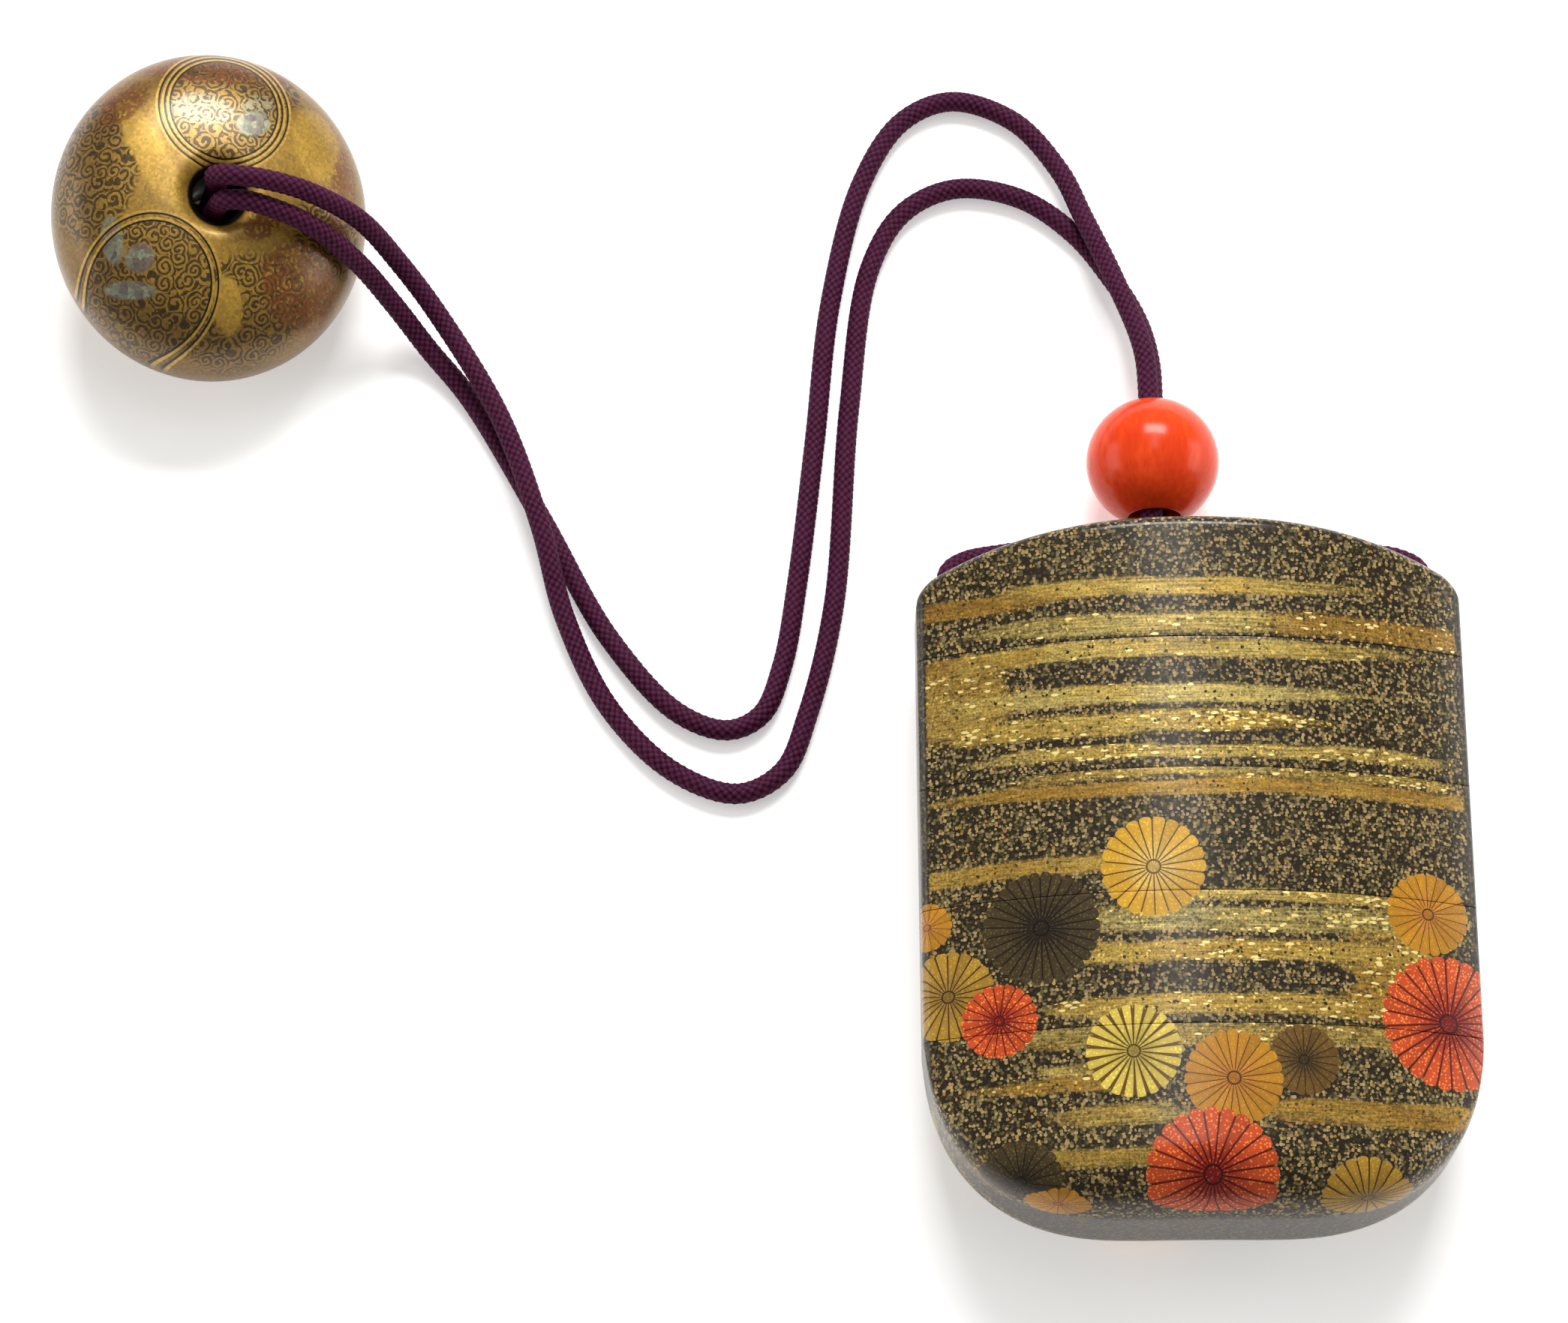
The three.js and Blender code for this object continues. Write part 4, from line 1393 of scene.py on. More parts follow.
def sweep(line: Rows, radius: Rows, around: int) -> Rows:
    """Rings of points round a line, each at its own distance from it.

    Args:
        line: the middle, one point a row.
        radius: distances, a row for each ring.
        around: points in a ring.

    Returns:
        Rings, points and coordinates, in that order.
    """
    side, other = steady_frames(line)
    angle = np.arange(around) / around * 2 * math.pi
    ring = side[:, None] * np.cos(angle)[None, :, None] + other[:, None] * np.sin(angle)[None, :, None]
    return line[:, None] + ring * radius[..., None]


@dataclass(frozen=True)
class BraidedSilk:
    """Round kumihimo braid of dyed purple-brown silk.

    The crown of each strand is painted a lighter dull violet as a painted highlight, and the crevices
    between them nearly black as painted shade. The fuzz is 0.12 mm, coarser than real fibres of a
    hundredth, so that it shows.
    """

    name: str = "braided silk"
    # crevice is painted shade in the braid's crevices and crown a painted highlight on its strands; strand is
    # the silk's own colour between them.
    crevice: str = "#0b0207"
    strand: str = "#30091f"
    crown: str = "#5c2348"
    roughness: float = 0.62
    specular: float = 0.1
    fibre: float = 0.12
    shake: float = 0.2
    relief: float = 0.05

    def build(self) -> bpy.types.Material:
        """Makes the material, which reads the braid's crown attribute.

        Returns:
            The cord's finish.
        """
        material, add = new_material(self.name)
        crown = add("Attribute", attribute_name="crown").outputs["Fac"]
        place = add("TexCoord").outputs["Object"]
        fuzz = add("TexNoise", links={"Vector": place, "Scale": 1 / (self.fibre * MM), "Detail": 2.0})
        shaken = add("Math SUBTRACT", add("Math MULTIPLY_ADD", fuzz, 2 * self.shake, crown), self.shake)
        # Painted shade and highlight: the braid's height darkens the crevices and lightens the crowns.
        stops = ((0.08, self.crevice), (0.55, self.strand), (1.0, self.crown))
        surface = {
            "Base Color": add("ValToRGB", shaken, stops=stops),
            "Normal": add("Bump", links={"Strength": 0.35, "Distance": self.relief * MM, "Height": fuzz}),
            "Roughness": self.roughness,
            "Specular IOR Level": self.specular,
        }
        add("OutputMaterial", add("BsdfPrincipled", links=surface))
        return material


@dataclass
class Braid:
    """A round braid: strands of two families that wind opposite ways and pass over and under."""

    radius: float = CORD_RADIUS
    strands: int = 8
    pitch: float = 7.54
    relief: float = 0.24
    dip: float = 0.12
    around: int = 48
    step: float = 0.16
    rounding: float = 0.6

    def crown(self, turn: Rows, along: Rows) -> Rows:
        """How high the strands stand, from 0 in a crevice to 1.

        With a and b the places across the two families, each strand's section is the root of
        1 - (2 frac - 1) squared, and it rises and dips as a sine of the other family's place, the
        other way for every second strand. The higher of the two shows.

        Args:
            turn: places round the cord, as a share of the way round.
            along: places along it, in millimetres.

        Returns:
            The height at each place.
        """
        a = self.strands * (turn + along / self.pitch)
        b = self.strands * (turn - along / self.pitch)
        dip = self.dip / self.relief
        over = np.sqrt(np.maximum(1 - (2 * (a % 1) - 1) ** 2, 0)) * (1 - dip)
        under = np.sqrt(np.maximum(1 - (2 * (b % 1) - 1) ** 2, 0)) * (1 - dip)
        over = over + dip * np.sin(math.pi * b) * np.where(np.floor(a) % 2 < 1, 1, -1)
        under = under - dip * np.sin(math.pi * a) * np.where(np.floor(b) % 2 < 1, 1, -1)
        return np.clip(np.maximum(over, under), 0, 1)

    def tube(self, name: str, route: Any, silk: bpy.types.Material) -> tuple[Any, Rows]:
        """Makes a braid along a route.

        Args:
            name: the piece's name.
            route: the points it passes, in millimetres.
            silk: its finish.

        Returns:
            The object, and its centreline in millimetres.
        """
        line = spline(route, self.step)
        along = np.arange(len(line)) * np.linalg.norm(line[1] - line[0])
        turn = np.arange(self.around) / self.around
        height = self.crown(turn[None], along[:, None])
        radius = self.radius - self.relief * (1 - height)
        end = np.minimum(along, along[-1] - along)
        radius = radius * np.sqrt(1 - np.clip(1 - end / self.rounding, 0, 1) ** 2)[:, None]
        rings = sweep(line, radius, self.around)
        quads = ring_quads(len(line), self.around)
        points, faces, values = weld(rings.reshape(-1, 3), quads, {"crown": height.reshape(-1)})
        piece = build_mesh(name, points, faces, values)
        piece.data.materials.append(silk)
        return piece, line


@dataclass
class CordWork:
    """The one silk cord: through the case's runners, and its two ends to the netsuke."""

    finish: BraidedSilk
    exit_y: float = 34.5
    lengths: tuple[float, float] = (289.0, 296.0)

    def build(self) -> tuple[dict[str, Any], dict[str, Rows]]:
        """Makes the three runs of the cord.

        Returns:
            The pieces by node name, and the two free runs' centrelines.
        """
        silk = self.finish.build()
        pieces, lines = {}, {}
        for node, route in (("cord_left", LEFT_ROUTE), ("cord_right", RIGHT_ROUTE)):
            pieces[node], lines[node] = Braid().tube(f"{node}_braid", route, silk)
        held = Braid(around=32, step=0.24)
        pieces["cord_held"], _ = held.tube("cord_held_braid", held_route(30.2), silk)
        pieces["cord_knot"] = self.knot(silk)
        for node, piece in pieces.items():
            dress(piece, silk, "silk", node)
        return pieces, lines

    def knot(self, silk: bpy.types.Material) -> bpy.types.Object:
        """Ties the knot under the netsuke: a trefoil, (1 + cos 3t / 2) round and sin 3t up, drawn tight.

        Args:
            silk: the cord's finish.

        Returns:
            The knot.
        """
        t = np.linspace(0, 2 * math.pi, KNOT_POINTS, endpoint=False)
        out = KNOT_RADIUS * (1 + np.cos(3 * t) / 2)
        height = KNOT_MIDDLE + KNOT_RISE * np.sin(3 * t)
        local = np.stack([out * np.cos(2 * t), out * np.sin(2 * t), height], axis=1)
        braid = Braid(radius=0.85, relief=0.16, dip=0.08, pitch=5.3, around=28, step=0.3)
        return braid.tube("cord_knot_braid", lean(local), silk)[0]


# ------------------------------------------------------------------ bead and netsuke


def lathe_rings(profile: Rows, around: int) -> Rows:
    """Turns a profile about the upright axis.

    Args:
        profile: radius and height, one point a row.
        around: points in a ring.

    Returns:
        Rings, points and coordinates, in that order.
    """
    angle = np.arange(around) / around * 2 * math.pi
    x = profile[:, :1] * np.cos(angle)
    y = profile[:, :1] * np.sin(angle)
    return np.stack([x, y, np.broadcast_to(profile[:, 1:], x.shape)], axis=2)


def round_over(before: Rows, corner: Rows, after: Rows, steps: int = 8) -> Rows:
    """Rounds a corner off: a parabola from one point to the other.

    Args:
        before: where the soft edge starts.
        corner: the corner that it replaces.
        after: where it ends.
        steps: how many steps it takes.

    Returns:
        The points between the two ends.
    """
    t = np.linspace(0, 1, steps + 1)[1:-1, None]
    return (1 - t) ** 2 * before + 2 * t * (1 - t) * corner + t**2 * after


def bun_profile(radius: float, half: float, power: float, bore: float, steps: int) -> Rows:
    """The outer skin of a bead, from the lower bore's edge to the upper one's.

    (r / radius) to the power plus (h / half) to the power is 1.

    Args:
        radius: half the bead's width.
        half: half its height.
        power: 2 for an ellipse, more for a squarer bun.
        bore: the radius at which the skin ends.
        steps: how many steps it takes.

    Returns:
        Radius and height, one point a row.
    """
    first = math.asin((bore / radius) ** (power / 2))
    t = np.linspace(first, math.pi - first, steps + 1)
    sine, cosine = np.sin(t), np.cos(t)
    height = -half * np.sign(cosine) * np.abs(cosine) ** (2 / power)
    return np.stack([radius * sine ** (2 / power), height], axis=1)


@dataclass(frozen=True)
class PolishedCoral:
    """Red coral, turned and polished: an even orange-red with faint growth lines along the branch.

    Light goes a little way in and comes back redder, so the shaded side stays warm. Lines, clouds
    and depths are in millimetres.
    """

    name: str = "polished coral"
    body: str = "#f4501f"
    vein: str = "#dc3a16"
    line: float = 0.5
    length_share: float = 0.12
    cloud: float = 5.0
    relief: float = 0.03
    roughness: float = 0.2
    specular: float = 0.22
    glow: float = 0.12
    glow_depths: tuple[float, float, float] = (0.6, 0.15, 0.1)

    def build(self) -> bpy.types.Material:
        """Makes the material on Object coordinates.

        Returns:
            The bead's finish.
        """
        material, add = new_material(self.name)
        place = add("TexCoord").outputs["Object"]
        along = add("VectorMath MULTIPLY", place, (1, self.length_share, 1))
        lines = add("TexNoise", links={"Vector": along, "Scale": 1 / (self.line * MM), "Detail": 3.0})
        cloud = add("TexNoise", links={"Vector": place, "Scale": 1 / (self.cloud * MM), "Detail": 2.0})
        stops = ((0.1, self.vein), (0.42, self.body))
        surface = {
            "Base Color": add("ValToRGB", add("Math MULTIPLY", lines, cloud), stops=stops),
            "Normal": add("Bump", links={"Strength": 0.06, "Distance": self.relief * MM, "Height": lines}),
            "Roughness": self.roughness,
            "Specular IOR Level": self.specular,
            "Subsurface Weight": self.glow,
            "Subsurface Radius": tuple(depth * MM for depth in self.glow_depths),
        }
        add("OutputMaterial", add("BsdfPrincipled", links=surface))
        return material


@dataclass
class OjimeBead:
    """The sliding bead that both ends of the cord pass through."""

    finish: PolishedCoral
    radius: float = 7.5
    half: float = 7.4
    bore: float = 2.9
    edge: float = 0.5
    place: tuple[float, float, float] = (-2.7, 50.7, 7.5)
    around: int = 140

    def build(self) -> bpy.types.Object:
        """Turns the bead about the cord's line, with softened bore edges.

        Returns:
            The bead.
        """
        skin = bun_profile(self.radius, self.half, 2.0, self.bore + self.edge, 90)
        top = bun_profile(self.radius, self.half, 2.0, self.bore, 4)[-1]
        upper = np.array([self.bore, top[1] - self.edge])
        bore = np.stack([np.full(13, self.bore), np.linspace(upper[1], -upper[1], 13)], axis=1)
        flip = np.array([1, -1])
        over = round_over(skin[-1], top, upper)
        profile = np.concatenate([skin, over, bore, (over * flip)[::-1]])
        rings = lathe_rings(profile, self.around)
        points = np.stack([rings[..., 0], rings[..., 2], -rings[..., 1]], axis=-1).reshape(-1, 3)
        points = points + np.array(self.place)
        piece = build_mesh("ojime_bead_coral", points, [ring_quads(*rings.shape[:2], closed_rows=True)], {})
        dress(piece, self.finish.build(), "coral", "ojime_bead")
        return piece


BUN_OVAL = 1.06
BUN_LEAN = (math.radians(8), math.radians(13))
BUN_PLACE = (-110.2, 80.5, 10.45)


def lean(local: Rows) -> Rows:
    """Stretches points of the netsuke along Y, leans them about Y and then X, and puts them in place.

    Args:
        local: points in the netsuke's own frame.

    Returns:
        Points in the case's frame.
    """
    x, y, z = local[..., 0], local[..., 1] * BUN_OVAL, local[..., 2]
    about_x, about_y = BUN_LEAN
    x, z = x * math.cos(about_y) + z * math.sin(about_y), z * math.cos(about_y) - x * math.sin(about_y)
    y, z = y * math.cos(about_x) - z * math.sin(about_x), y * math.sin(about_x) + z * math.cos(about_x)
    return np.stack([x, y, z], axis=-1) + np.array(BUN_PLACE)


class Ornament(Enum):
    """What the netsuke's lacquer shows in a place."""

    SCROLL = "scroll"
    SHELL = "shell"
    SILVER = "silver"
    WARM = "warm"
    SMOOTH = "smooth"


@dataclass(frozen=True)
class Patch:
    """A soft-edged oval of one ornament on the netsuke, in millimetres from its middle, and its turn."""

    ornament: Ornament
    x: float
    y: float
    half_x: float
    half_y: float
    turn: float = 0.0

    def cover(self, local: Rows) -> Rows:
        """How much of each point the oval covers.

        Args:
            local: points in the netsuke's own frame.

        Returns:
            1 inside the oval, falling to 0 over its outer part.
        """
        angle = math.radians(self.turn)
        x, y = local[:, 0] - self.x, local[:, 1] - self.y
        along = (x * math.cos(angle) + y * math.sin(angle)) / self.half_x
        across = (y * math.cos(angle) - x * math.sin(angle)) / self.half_y
        return 1 - smooth_step(np.hypot(along, across), 0.85, 1.1)


PATCHES = (
    Patch(Ornament.SCROLL, 0.6, 10, 7.2, 7.2),
    Patch(Ornament.SCROLL, -7.3, -10, 7.4, 7.4),
    Patch(Ornament.SCROLL, -13.4, 3, 4.6, 8.5, -8),
    Patch(Ornament.SCROLL, 6.3, 13, 3.5, 2.4, -25),
    Patch(Ornament.SCROLL, 3, -12, 8, 5.5, 20),
    Patch(Ornament.SCROLL, 12.5, -3, 4, 5),
    Patch(Ornament.SILVER, -1.8, 9.6, 3.6, 1.9, -8),
    Patch(Ornament.SILVER, 4.4, 10.4, 2.0, 1.4, 20),
    Patch(Ornament.SHELL, 3.9, 8.2, 2.0, 1.5, 20),
    Patch(Ornament.SHELL, -11.6, -5.2, 1.1, 2.6, 10),
    Patch(Ornament.SHELL, -8.6, -7.2, 1.6, 1.5, 35),
    Patch(Ornament.SHELL, -9.4, -10.4, 2.8, 0.9, -5),
    Patch(Ornament.WARM, 9.6, -8.8, 4.6, 4.8, 30),
    Patch(Ornament.WARM, 0, 15.4, 9.5, 2.6, 0),
    Patch(Ornament.WARM, -10.5, 10.5, 3.5, 2, 45),
    Patch(Ornament.WARM, 14.5, 1.5, 1.6, 6, -5),
    Patch(Ornament.WARM, 5, -3, 2.4, 1.6, 30),
    Patch(Ornament.SMOOTH, -7.8, 4.4, 1.9, 7, 27),
    Patch(Ornament.SMOOTH, 11.3, 6.8, 3, 4.4, 12),
    Patch(Ornament.SMOOTH, 1.4, -11.8, 1.7, 3, 8),
    Patch(Ornament.SMOOTH, 1, 0, 4.2, 3.2),
)


@dataclass(frozen=True)
class Roundel:
    """A medallion outlined by fine raised gold rings: its middle and the rings' radii, in millimetres."""

    x: float
    y: float
    rings: tuple[float, ...]


ROUNDELS = (Roundel(0.6, 10.0, (7.6, 6.95, 6.35)), Roundel(-7.3, -10.0, (7.8, 7.0)))


@dataclass(frozen=True)
class GoldLacquer:
    """Gold-powdered lacquer with scrolling vines in low relief and chips of shell.

    Powdered gold under clear lacquer is satin, warm and speckled; vines are brighter lines on a
    browned ground, and shell chips are pale, green to violet. Sizes are in millimetres; the powder
    is drawn at 0.3 mm, up to three times the real one, so that it shows. A pair of numbers is what
    a value is multiplied by and what is then added.
    """

    name: str = "gold maki-e lacquer"
    bright: str = "#c0973a"
    gold: str = "#805f22"
    brown: str = "#3d280e"
    dark: str = "#120c05"
    foxed: str = "#733b0e"
    silver: str = "#958c69"
    pearl: tuple[tuple[float, str], ...] = (
        (0.0, "#55505c"), (0.4, "#9aa68c"), (0.7, "#6f7a70"), (1.0, "#6d5a68"),
    )
    curl: float = 1.7
    line: float = 0.55
    grain: float = 0.3
    chip: float = 0.9
    curl_spread: float = 0.8
    bend_scale: float = 1.1
    bend: float = 7.0
    vine_width: tuple[float, float] = (1.6, -0.85)
    brown_share: float = 0.85
    warm_share: float = 0.75
    warm_grains: float = 0.72
    silver_share: float = 0.8
    silver_grains: float = 0.4
    shell_share: float = 0.8
    grain_shade: tuple[float, float] = (0.45, 0.74)
    ring_half: float = 0.13
    shadow_in: float = 0.26
    shadow_half: float = 0.1
    relief: float = 0.12
    metallic: float = 0.4
    roughness: float = 0.4
    coat: float = 0.3
    coat_roughness: float = 0.22

    def build(self) -> bpy.types.Material:
        """Makes the material, which reads the netsuke's own coordinates and ornament attributes.

        Returns:
            The netsuke's finish.
        """
        material, add = new_material(self.name)
        place = add("Attribute", attribute_name="own_place").outputs["Vector"]
        tint, scroll, warm, silver, shell, upper, bore = (
            add("Attribute", attribute_name=name).outputs["Fac"]
            for name in ("tint", "scroll", "warm", "silver", "shell", "upper", "bore")
        )
        vine = self.vine(add, place)
        specks = add("TexVoronoi", links={"Vector": place, "Scale": 1 / self.grain})
        speck = add("SeparateColor", specks.outputs["Color"]).outputs
        # tint brightens the smooth patches and, as painted shade, darkens the gold towards the rim.
        gold = add("Mix RGBA", tint, linear(self.gold), linear(self.bright))
        browned = add("Mix RGBA", speck[0], linear(self.dark), linear(self.brown))
        sunk = add("Math MULTIPLY", scroll, add("Math SUBTRACT", 1.0, vine))
        colour = add("Mix RGBA", add("Math MULTIPLY", sunk, self.brown_share), gold, browned)
        warm = add("Math MULTIPLY", warm, add("Math LESS_THAN", speck[1], self.warm_grains))
        colour = add("Mix RGBA", add("Math MULTIPLY", warm, self.warm_share), colour, linear(self.foxed))
        silvered = add("Math MAXIMUM", vine, add("Math LESS_THAN", speck[1], self.silver_grains))
        silver = add("Math MULTIPLY", add("Math MULTIPLY", silver, silvered), self.silver_share)
        colour = add("Mix RGBA", silver, colour, linear(self.silver))
        chips = add("TexVoronoi", links={"Vector": place, "Scale": 1 / self.chip})
        hue = add("SeparateColor", chips.outputs["Color"]).outputs[0]
        pearl = add("ValToRGB", hue, stops=self.pearl)
        colour = add("Mix RGBA", add("Math MULTIPLY", shell, self.shell_share), colour, pearl)
        raised = add("Math SUBTRACT", 1.0, sunk)
        colour, raised = self.rings(add, place, upper, colour, raised)
        # Painted shade: the inside of the bore is painted dark.
        colour = add("Mix RGBA", bore, colour, linear(self.dark))
        shade = add("Math MULTIPLY_ADD", speck[2], *self.grain_shade)
        surface = {
            "Base Color": add("VectorMath SCALE", colour, shade),
            "Normal": add("Bump", links={"Strength": 0.55, "Distance": self.relief * MM, "Height": raised}),
            "Metallic": self.metallic,
            "Roughness": self.roughness,
            "Coat Weight": self.coat,
            "Coat Roughness": self.coat_roughness,
        }
        add("OutputMaterial", add("BsdfPrincipled", links=surface))
        return material

    def vine(self, add: Adder, place: Any) -> Any:
        """Scrolling vines: in each cell a spiral, whose phase is 2 pi r / line plus the turn, bent by noise.

        Args:
            add: add_node for the material's tree.
            place: the netsuke's own coordinates in millimetres.

        Returns:
            The node that is 1 on a vine.
        """
        spread = {"Vector": place, "Scale": 1 / self.curl, "Randomness": self.curl_spread}
        cells = add("TexVoronoi", links=spread)
        away = add("VectorMath SUBTRACT", place, cells.outputs["Position"])
        across, up, _ = add("SeparateXYZ", away).outputs
        distance = add("VectorMath LENGTH", away)
        wound = add("Math MULTIPLY_ADD", distance, 2 * math.pi / self.line, add("Math ARCTAN2", up, across))
        bent = add("TexNoise", links={"Vector": place, "Scale": self.bend_scale, "Detail": 2.0})
        wound = add("Math MULTIPLY_ADD", bent, self.bend, wound)
        width = add("Math MULTIPLY_ADD", bent, *self.vine_width)
        return add("Math GREATER_THAN", add("Math SINE", wound), width)

    def rings(self, add: Adder, place: Any, upper: Any, colour: Any, raised: Any) -> tuple[Any, Any]:
        """Draws each roundel's raised rings, and a dark line just inside each.

        Args:
            add: add_node for the material's tree.
            place: the netsuke's own coordinates in millimetres.
            upper: 1 on the upper half.
            colour: the colour below.
            raised: what stands up so far.

        Returns:
            The nodes that give the colour and what stands up.
        """
        for roundel in ROUNDELS:
            middle = add("VectorMath SUBTRACT", place, (roundel.x, roundel.y, 0))
            out = add("VectorMath LENGTH", add("VectorMath MULTIPLY", middle, (1, 1, 0)))
            for radius in roundel.rings:
                ring = add("Math MULTIPLY", add("Math COMPARE", out, radius, self.ring_half), upper)
                colour = add("Mix RGBA", ring, colour, linear(self.bright))
                shadow = add("Math COMPARE", out, radius - self.shadow_in, self.shadow_half)
                colour = add("Mix RGBA", add("Math MULTIPLY", shadow, upper), colour, linear(self.dark))
                raised = add("Math MAXIMUM", raised, ring)
        return colour, raised


@dataclass
class Netsuke:
    """The bun-shaped toggle: bored through its middle, with a chamber below for the cord's knot."""

    finish: GoldLacquer
    radius: float = 18.0
    half: float = 10.2
    power: float = 2.25
    bore: float = 2.8
    mouth: float = 3.8
    mouth_depth: float = 1.6
    chamber_radius: float = 4.8
    chamber_depth: float = 7.5
    chamber_lip: float = 1.0
    around: int = 300
    upper_from: tuple[float, float] = (-1.0, 1.5)
    # From where to where the gold darkens towards the rim, as painted shade.
    rim_shade_span: tuple[float, float] = (10.0, 16.5)
    under_scroll: float = 0.55
    sharp: float = math.radians(50)

    def profile(self) -> Rows:
        """Draws the closed half section: skin, mouth, bore and chamber.

        Returns:
            Radius and height, one point a row.
        """
        outer = bun_profile(self.radius, self.half, self.power, self.mouth, 150)
        skin = outer[:-4]
        roof = self.chamber_depth - self.half
        throat = np.array([self.bore, self.half - self.mouth_depth])
        over = round_over(skin[-1], outer[-1], throat, 8)
        bore = np.linspace(throat, (self.bore, roof), 12)
        flat = np.linspace((self.bore + 0.3, roof), (self.chamber_radius, roof), 5)
        wall_foot = outer[0, 1] + self.chamber_lip
        wall = np.linspace((self.chamber_radius, roof - 0.4), (self.chamber_radius, wall_foot), 8)
        return np.concatenate([skin, over, bore, flat, wall])

    def build(self) -> bpy.types.Object:
        """Turns the bun, leans it, shaves the flat it rests on and marks out its ornament.

        Returns:
            The netsuke.
        """
        rings = lathe_rings(self.profile(), self.around)
        local = rings.reshape(-1, 3)
        points = lean(local)
        points[:, 2] = np.maximum(points[:, 2], 0)
        out = np.hypot(local[:, 0], local[:, 1])
        values = {kind.value: np.zeros(len(local)) for kind in Ornament}
        upper = smooth_step(local[:, 2], *self.upper_from)
        for patch in PATCHES:
            cover = patch.cover(local) * upper
            if patch.ornament in (Ornament.SHELL, Ornament.SMOOTH):
                values["scroll"] = values["scroll"] * (1 - cover)
            cover = cover * (out > self.mouth)
            values[patch.ornament.value] = np.maximum(values[patch.ornament.value], cover)
        values["scroll"] = np.maximum(values["scroll"], self.under_scroll * (1 - upper))
        values["upper"] = upper
        # Painted shade: the gold darkens towards the rim, where the bun's edge turns from the light.
        rim_shade = 0.6 * smooth_step(out, *self.rim_shade_span)
        values["tint"] = np.clip(0.5 + 0.5 * values["smooth"] - rim_shade, 0, 1)
        # Painted shade: the inside of the bore is marked to be painted dark, as shade in the hole.
        deep = (out < self.mouth) & (local[:, 2] < self.half - self.mouth_depth / 2)
        values["bore"] = deep.astype(float)
        piece = build_mesh("netsuke_gold", points, [ring_quads(*rings.shape[:2], closed_rows=True)], values)
        made = piece.data.attributes.new("own_place", "FLOAT_VECTOR", "POINT")
        made.data.foreach_set("vector", local.astype(np.float32).reshape(-1))
        piece.data.set_sharp_from_angle(angle=self.sharp)
        dress(piece, self.finish.build(), "gold_lacquer", "netsuke")
        return piece


# ------------------------------------------------------------------ floor, light and camera


@dataclass(frozen=True)
class Softbox:
    """A soft light: where it stands round the set, in degrees and metres, its sides and its power."""

    name: str
    azimuth: float
    elevation: float
    distance: float
    width: float
    height: float
    power: float

    def build(self, target: Rows) -> None:
        """Hangs the light and turns it to the set.

        Args:
            target: where the set's middle is, in metres.
        """
        turn, rise = math.radians(self.azimuth), math.radians(self.elevation)
        way = np.array([math.cos(rise) * math.cos(turn), math.cos(rise) * math.sin(turn), math.sin(rise)])
        light = bpy.data.lights.new(self.name, "AREA")
        light.shape, light.size, light.size_y, light.energy = "RECTANGLE", self.width, self.height, self.power
        lamp = bpy.data.objects.new(self.name, light)
        lamp.matrix_world = facing(way, 0.0, target + way * self.distance)
        bpy.context.scene.collection.objects.link(lamp)


def facing(back: Rows, roll: float, place: Rows) -> Matrix:
    """Turns a camera or light to look against a direction.

    Args:
        back: the unit direction from what it looks at.
        roll: its turn about that direction, in radians.
        place: where it stands, in metres.

    Returns:
        Its world matrix.
    """
    level = np.cross([0, 0, 1], back) if abs(back[2]) < 0.999 else np.array([1.0, 0, 0])
    level = level / np.linalg.norm(level)
    rise = np.cross(back, level)
    right = level * math.cos(roll) + rise * math.sin(roll)
    up = rise * math.cos(roll) - level * math.sin(roll)
    matrix = np.identity(4)
    matrix[:3, :4] = np.stack([right, up, back, place], axis=1)
    return Matrix(matrix.tolist())


LIGHTS = (
    Softbox("key softbox", 84, 48, 1.5, 0.8, 0.42, 22),
    Softbox("left softbox", 176, 14, 1.6, 1.2, 0.7, 7),
    Softbox("right softbox", 4, 14, 1.6, 1.2, 0.7, 8),
    Softbox("sheen softbox", 85, 73, 1.5, 0.3, 0.7, 2.2),
)


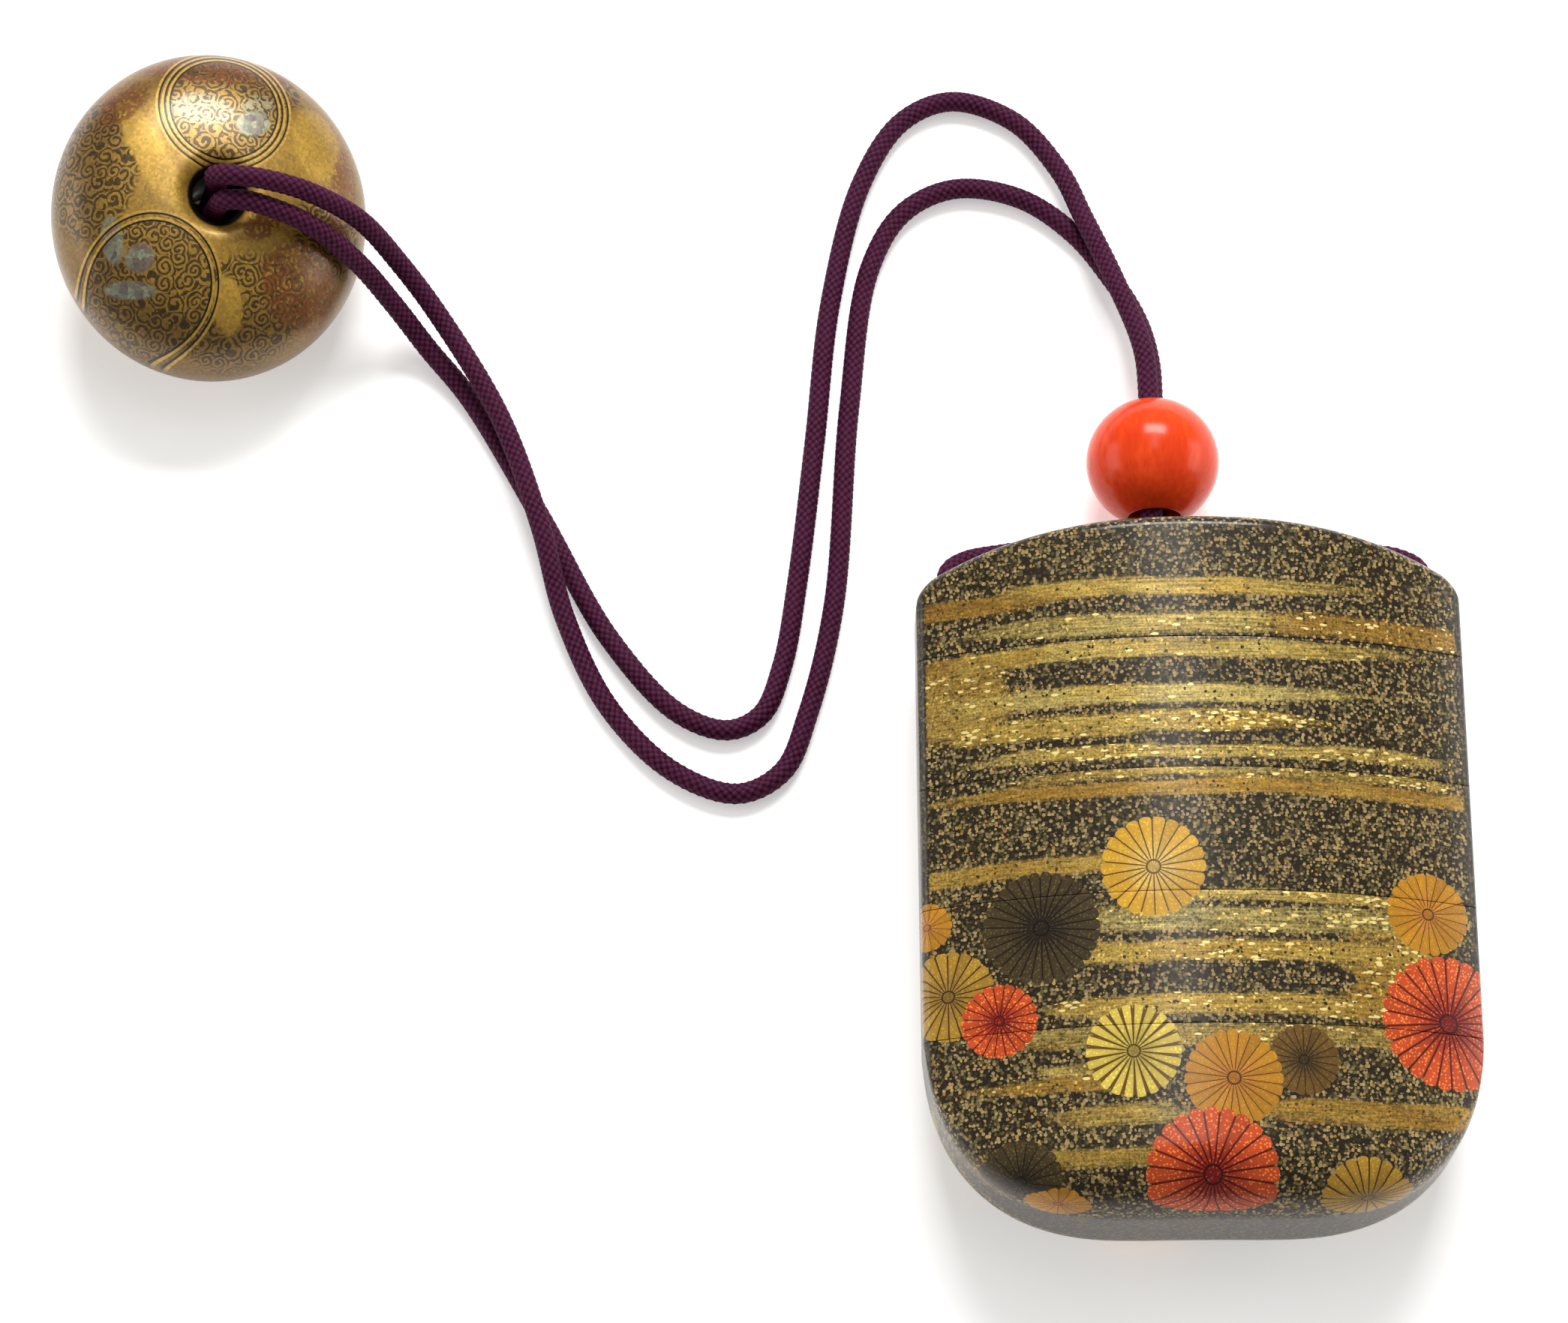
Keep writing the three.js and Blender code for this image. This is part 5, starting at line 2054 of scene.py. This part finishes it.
@dataclass
class Studio:
    """A pale floor, soft lights and the camera above it."""

    camera_place: tuple[float, float, float] = (-44.60, -143.98, 504.36)
    camera_target: tuple[float, float, float] = (-44.60, 25.62, 12.0)
    lens: float = 108.04
    sensor: float = 36.0
    roll: float = -0.396
    world: float = 0.26
    floor_size: float = 3.0
    floor_glow: float = 0.4

    def build(self) -> None:
        """Sets up the camera first, then floor, world and lights."""
        scene = bpy.context.scene
        place, target = np.array(self.camera_place) * MM, np.array(self.camera_target) * MM
        lens = bpy.data.cameras.new("camera")
        lens.lens, lens.sensor_width = self.lens, self.sensor
        camera = bpy.data.objects.new("camera", lens)
        back = (place - target) / np.linalg.norm(place - target)
        camera.matrix_world = facing(back, math.radians(self.roll), place)
        scene.collection.objects.link(camera)
        scene.camera = camera
        scene.view_settings.view_transform = "Standard"
        self.floor()
        sky = bpy.data.worlds.new("studio")
        sky.use_nodes = True
        background = sky.node_tree.nodes["Background"].inputs
        background["Strength"].default_value = self.world
        background["Color"].default_value = linear("#fffaf2")
        scene.world = sky
        for light in LIGHTS:
            light.build(target)

    def floor(self) -> None:
        """A square of matt white board under the set, lit a little from below as a light table is."""
        half = self.floor_size / 2 / MM
        corners = np.array([(-half, -half, 0), (half, -half, 0), (half, half, 0), (-half, half, 0)])
        mesh = bpy.data.meshes.new("floor")
        mesh.from_pydata((corners * MM).tolist(), [], [(0, 1, 2, 3)])
        board = bpy.data.objects.new("floor", mesh)
        bpy.context.scene.collection.objects.link(board)
        material, add = new_material("matt white board")
        surface = {
            "Base Color": linear("#f9f9f9"),
            "Roughness": 0.9,
            "Specular IOR Level": 0.1,
            "Emission Color": linear("#ffffff"),
            "Emission Strength": self.floor_glow,
        }
        add("OutputMaterial", add("BsdfPrincipled", links=surface))
        mesh.materials.append(material)


def main() -> None:
    """Builds the set in order: camera, cords, bead, netsuke and case."""
    logging.basicConfig(level=logging.INFO, format="%(name)s: %(message)s")
    Studio().build()
    cords = CordWork(BraidedSilk())
    pieces, lines = cords.build()
    bead = OjimeBead(PolishedCoral()).build()
    netsuke = Netsuke(GoldLacquer()).build()
    tiers = Case(TogidashiLacquer()).build()
    for piece in (*pieces.values(), bead, netsuke, *tiers):
        log.info("%s: %d faces", piece.name, len(piece.data.polygons))


if __name__ == "__main__":
    main()
